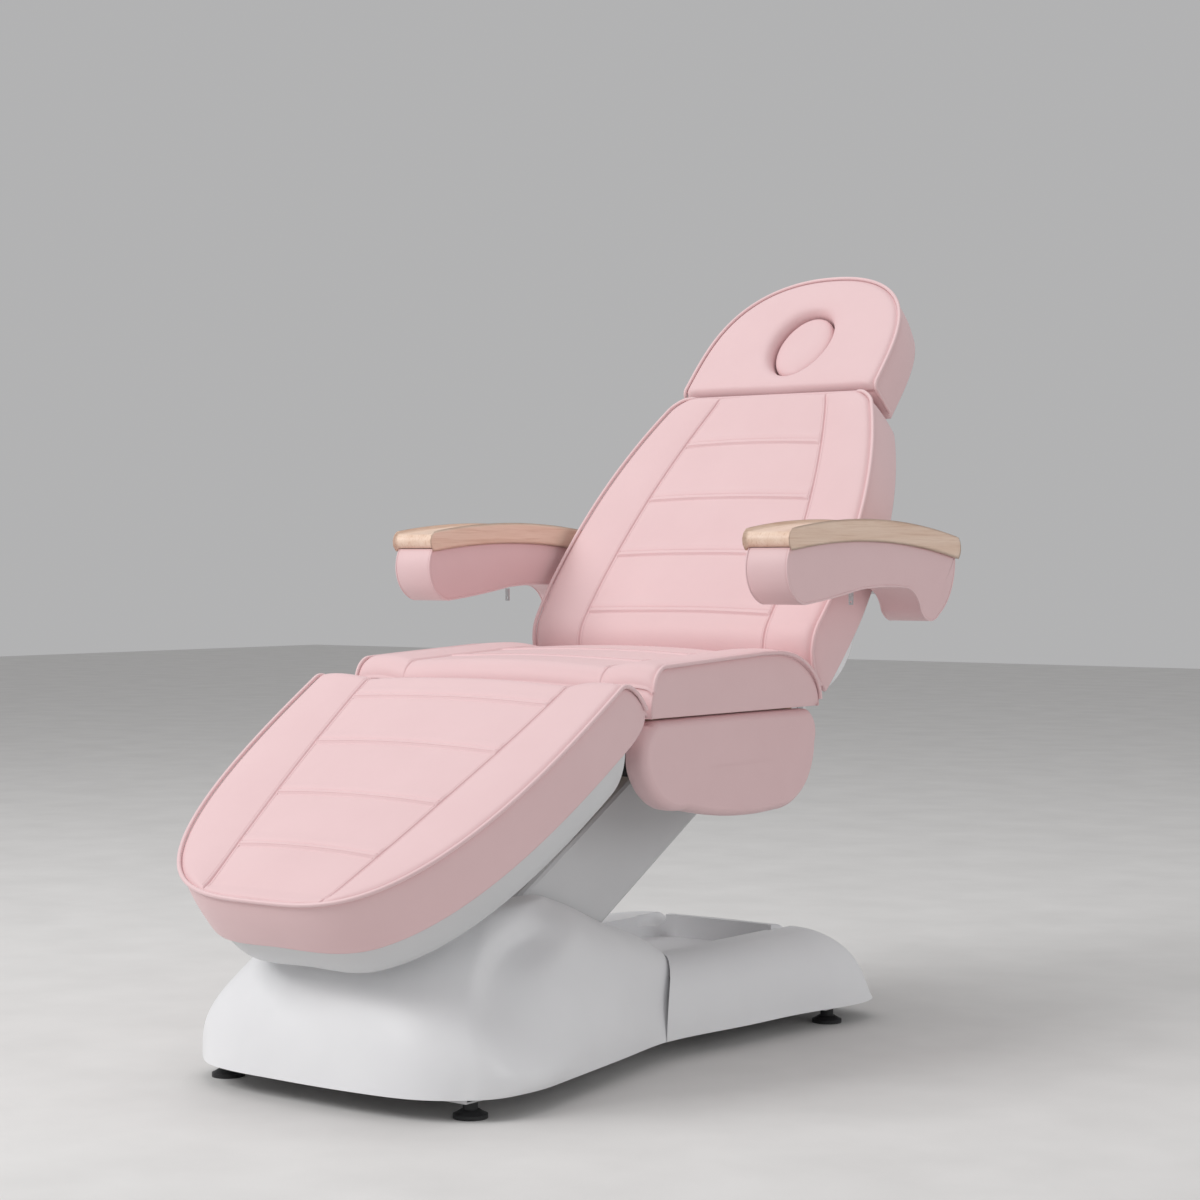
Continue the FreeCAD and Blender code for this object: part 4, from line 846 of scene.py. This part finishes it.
def arc_points(start, middle, end, count):
    """Points from start up to, and without, end, on the arc through the three."""
    a, b, c = Vector(start), Vector(middle), Vector(end)
    d = 2 * (a.x * (b.y - c.y) + b.x * (c.y - a.y) + c.x * (a.y - b.y))
    if abs(d) < STRAIGHT:
        return [a.lerp(c, i / count) for i in range(count)]
    squares = [p.length_squared for p in (a, b, c)]
    centre = Vector(
        (
            (squares[0] * (b.y - c.y) + squares[1] * (c.y - a.y) + squares[2] * (a.y - b.y)) / d,
            (squares[0] * (c.x - b.x) + squares[1] * (a.x - c.x) + squares[2] * (b.x - a.x)) / d,
        )
    )
    first = math.atan2(a.y - centre.y, a.x - centre.x)
    turn = math.atan2(c.y - centre.y, c.x - centre.x) - first
    through = math.atan2(b.y - centre.y, b.x - centre.x) - first
    full = 2 * math.pi
    turn, through = turn % full, through % full
    if through > turn:
        turn -= full
    radius = (a - centre).length
    angles = [first + turn * i / count for i in range(count)]
    return [centre + radius * Vector((math.cos(t), math.sin(t))) for t in angles]


def outline(path, spacing):
    """Evenly spaced points round a closed path of arcs, given as corner, middle, corner, middle."""
    points = []
    count = len(path)
    for i in range(0, count, 2):
        a, b, c = path[i], path[i + 1], path[(i + 2) % count]
        length = (Vector(b) - Vector(a)).length + (Vector(c) - Vector(b)).length
        points += arc_points(a, b, c, max(3, round(length / spacing)))
    return points


def side_piece(ring, levels, spine, caps, crown, ripples):
    """Points and faces of a piece with an outline in side view.

    levels lists (x, inset) across its width, spine gives the middle of the piece for a Y, and caps
    the shares by which each side closes in to that middle line, with crown millimetres of swell.
    """
    ways = outward_ways(ring)
    points, loops = [], []

    def loop(x, spots):
        loops.append(list(range(len(points), len(points) + len(ring))))
        for p in spots:
            points.append((x, p.x, p.y))

    def inset_ring(inset):
        return [p - way * inset for p, way in zip(ring, ways)]

    first_x, first_inset = levels[0]
    last_x, last_inset = levels[-1]
    start, end = inset_ring(first_inset), inset_ring(last_inset)
    for share in reversed(caps):
        loop(first_x - crown * math.sin(share * math.pi / 2), [p.lerp(spine(p), share) for p in start])
    for x, inset in levels:
        loop(x, inset_ring(inset))
    for share in caps:
        loop(last_x + crown * math.sin(share * math.pi / 2), [p.lerp(spine(p), share) for p in end])
    if ripples:
        points = [(x + ripple(x, y, z, PAD_RIPPLE_SIZE, ripples), y, z) for x, y, z in points]
    faces = [f for first, second in zip(loops, loops[1:]) for f in bridge(first, second)]
    faces.append(tuple(reversed(loops[0])))
    faces.append(tuple(loops[-1]))
    return points, faces


def rounded(low, high, radius, steps=6):
    """Levels from low to high with both edges rounded."""
    turns = [i / steps * math.pi / 2 for i in range(steps + 1)]
    rise = [(radius * (1 - math.cos(t)), radius * (1 - math.sin(t))) for t in turns]
    near = [(low + depth, inset) for depth, inset in rise]
    far = [(high - depth, inset) for depth, inset in reversed(rise)]
    return near + [((low + high) / 2, 0)] + far


def mirrored(points, faces):
    """The mirror image across the bed's middle, still facing out."""
    return [(-x, y, z) for x, y, z in points], [tuple(reversed(f)) for f in faces]


def on_both_sides(name, part, points, faces, material, body, slot):
    """The piece on the right and its mirror image on the left."""
    made = []
    for side in ("right", "left"):
        shape = (points, faces) if side == "right" else mirrored(points, faces)
        carrier = body.format(side=side)
        made.append(build(f"{side}_{name}", *shape, LEVEL, material, carrier, slot))
        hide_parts(f"{side}_{part}")
    return made


ARM_INNER, ARM_OUTER = 325, 405  # the sides of the right armrest's pad
EDGE_ROUNDING = 6  # of the armrests' pads and wood
WOOD_OVER = 3  # how far the wood stands past the pad on each side
WELT_RADIUS, WELT_IN, WELT_DOWN = 1.7, 2.2, 1.4  # the armrests' welts, in from the sides and the outline
CAP_SHARES = (0.02, 0.05, 0.1, 0.18, 0.3, 0.45, 0.62, 0.8, 0.97)
WOOD_CAP_SHARES = (0.3, 0.7, 0.98)
PAD_RIPPLE_SIZE = 60  # size of the unevenness of armrests and side pads
# Outlines in side view as (Y, Z): corner, middle of an arc, corner, middle of an arc
ARM_PAD_PATH = (
    (294, 804),
    (288, 756),
    (336, 715),
    (415, 724),
    (500, 737),
    (580, 741),
    (645, 739),
    (676, 727),
    (694, 700),
    (722, 683),
    (756, 694),
    (792, 728),
    (808, 791),
    (545, 819),
)
ARM_WOOD_PATH = (
    (294, 805.5),
    (289, 816),
    (296, 829),
    (555, 845),
    (810, 818),
    (815, 805),
    (811, 792.5),
    (545, 820.5),
)
SIDE_PAD_PATH = (
    (100, 541),
    (68, 512),
    (66, 462),
    (96, 424),
    (175, 401),
    (300, 382),
    (430, 382),
    (510, 414),
    (541, 485),
    (541, 520),
    (522, 541),
    (300, 542),
)
# X of the right side pad's loops, and their inset from its outline
SIDE_PAD_LEVELS = (
    (258, 6),
    (259, 2.5),
    (262, 0.5),
    (270, 0),
    (280, 0),
    (286, 0.8),
    (291, 3),
    (295, 6.5),
    (297.5, 10.5),
)


def arm_spine(point):
    """The middle line of an armrest's pad, which arches and drops into the hook at the rear."""
    y = min(max(point.x, 322), 765)
    arch = 18 * math.sin((y - 322) / 443 * math.pi)
    hook = 20 * max(0, (y - 640) / 125)
    return Vector((y, 762 + arch - hook))


def wood_spine(point):
    """The middle line of an armrest's wood."""
    y = min(max(point.x, 300), 804)
    arch = 14 * math.sin((y - 292) / 520 * math.pi)
    fall = 5 * max(0, (y - 560) / 250)
    return Vector((y, 819 + arch - fall))


def pad_spine(point):
    """The middle line of a side pad, level and shorter than the pad."""
    return Vector((min(max(point.x, 160), 450), 466))


arm_ring = outline(ARM_PAD_PATH, spacing=4)
arm_levels = rounded(ARM_INNER + 1, ARM_OUTER - 1, EDGE_ROUNDING)
arm_shape = side_piece(arm_ring, arm_levels, arm_spine, CAP_SHARES, crown=2, ripples=0.8)
arm_look = (PINK, "{side}_armrest", "pink_leather")
for pad in on_both_sides("armrest_upholstery", "armrest_pad", *arm_shape, *arm_look):
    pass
welt = [p - way * WELT_DOWN for p, way in zip(arm_ring, outward_ways(arm_ring))]
for side, sign in (("right", 1), ("left", -1)):
    for place, x in (("outer", ARM_OUTER - WELT_IN), ("inner", ARM_INNER + WELT_IN)):
        path = [(sign * x, p.x, p.y) for p in welt]
        carrier = f"{side}_armrest"
        look = (LEVEL, PIPING, carrier, "pink_leather")
        tube(f"{carrier}_{place}_welt", [path], WELT_RADIUS, *look, closed=True)

wood_ring = outline(ARM_WOOD_PATH, spacing=6)
wood_levels = rounded(ARM_INNER - WOOD_OVER, ARM_OUTER + WOOD_OVER, EDGE_ROUNDING)
wood_shape = side_piece(wood_ring, wood_levels, wood_spine, WOOD_CAP_SHARES, crown=0, ripples=0)
on_both_sides("armrest_top", "armrest_wood", *wood_shape, BEECH, "{side}_armrest", "beech")

pad_ring = outline(SIDE_PAD_PATH, spacing=5)
pad_shape = side_piece(pad_ring, SIDE_PAD_LEVELS, pad_spine, CAP_SHARES, crown=3.5, ripples=1.0)
for pad in on_both_sides("side_cushion", "side_pad", *pad_shape, PINK, "seat", "pink_leather"):
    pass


# Camera, light and floor

AZIMUTH = 37.314  # degrees, fitted to the photograph together with the place
PITCH = 0.883  # degrees below level
CAMERA_PLACE = (2.5555, -3.0127 - CENTRE_Y * MM, 0.7840)

camera_data = bpy.data.cameras.new("camera")
camera_data.lens = 76.5
camera_data.sensor_width = 36
camera = show("camera", camera_data)
camera.location = CAMERA_PLACE
camera.rotation_euler = (math.radians(90 - PITCH), 0, math.radians(AZIMUTH))
scene.camera = camera


def area_light(name, place, target, size, power):
    """A soft lamp in metres and watts, turned to its target."""
    data = bpy.data.lights.new(name, "AREA")
    data.shape = "RECTANGLE"
    data.size, data.size_y = size
    data.energy = power
    light = show(name, data)
    light.location = place
    aim = Vector(target) - Vector(place)
    light.rotation_euler = aim.to_track_quat("-Z", "Y").to_euler()


area_light("key", (-2.4, -3.8, 3.6), (0, 0, 0.6), size=(2.8, 2.4), power=144)
area_light("top", (-0.6, 0.0, 6.6), (0, 0, 0.5), size=(4.0, 4.0), power=100)
area_light("side", (4.2, 0.6, 1.6), (0, 0.2, 0.6), size=(2.2, 1.8), power=24)

scene.view_settings.view_transform = "Standard"
world = bpy.data.worlds.new("studio")
world.use_nodes = True
backdrop = world.node_tree.nodes["Background"]
backdrop.inputs["Color"].default_value = (0.62, 0.62, 0.625, 1)
backdrop.inputs["Strength"].default_value = 0.72
scene.world = world

FLOOR_REACH = 14  # metres from the middle to each edge
FLOOR = moulded("floor", (0.68, 0.67, 0.66), (0.73, 0.72, 0.71), 0.9, 300, 0.0004)
corners = [(x * FLOOR_REACH, y * FLOOR_REACH, 0) for x, y in ((-1, -1), (1, -1), (1, 1), (-1, 1))]
floor_mesh = bpy.data.meshes.new("floor")
floor_mesh.from_pydata(corners, [], [(0, 1, 2, 3)])
floor_mesh.materials.append(FLOOR)
floor = show("floor", floor_mesh)
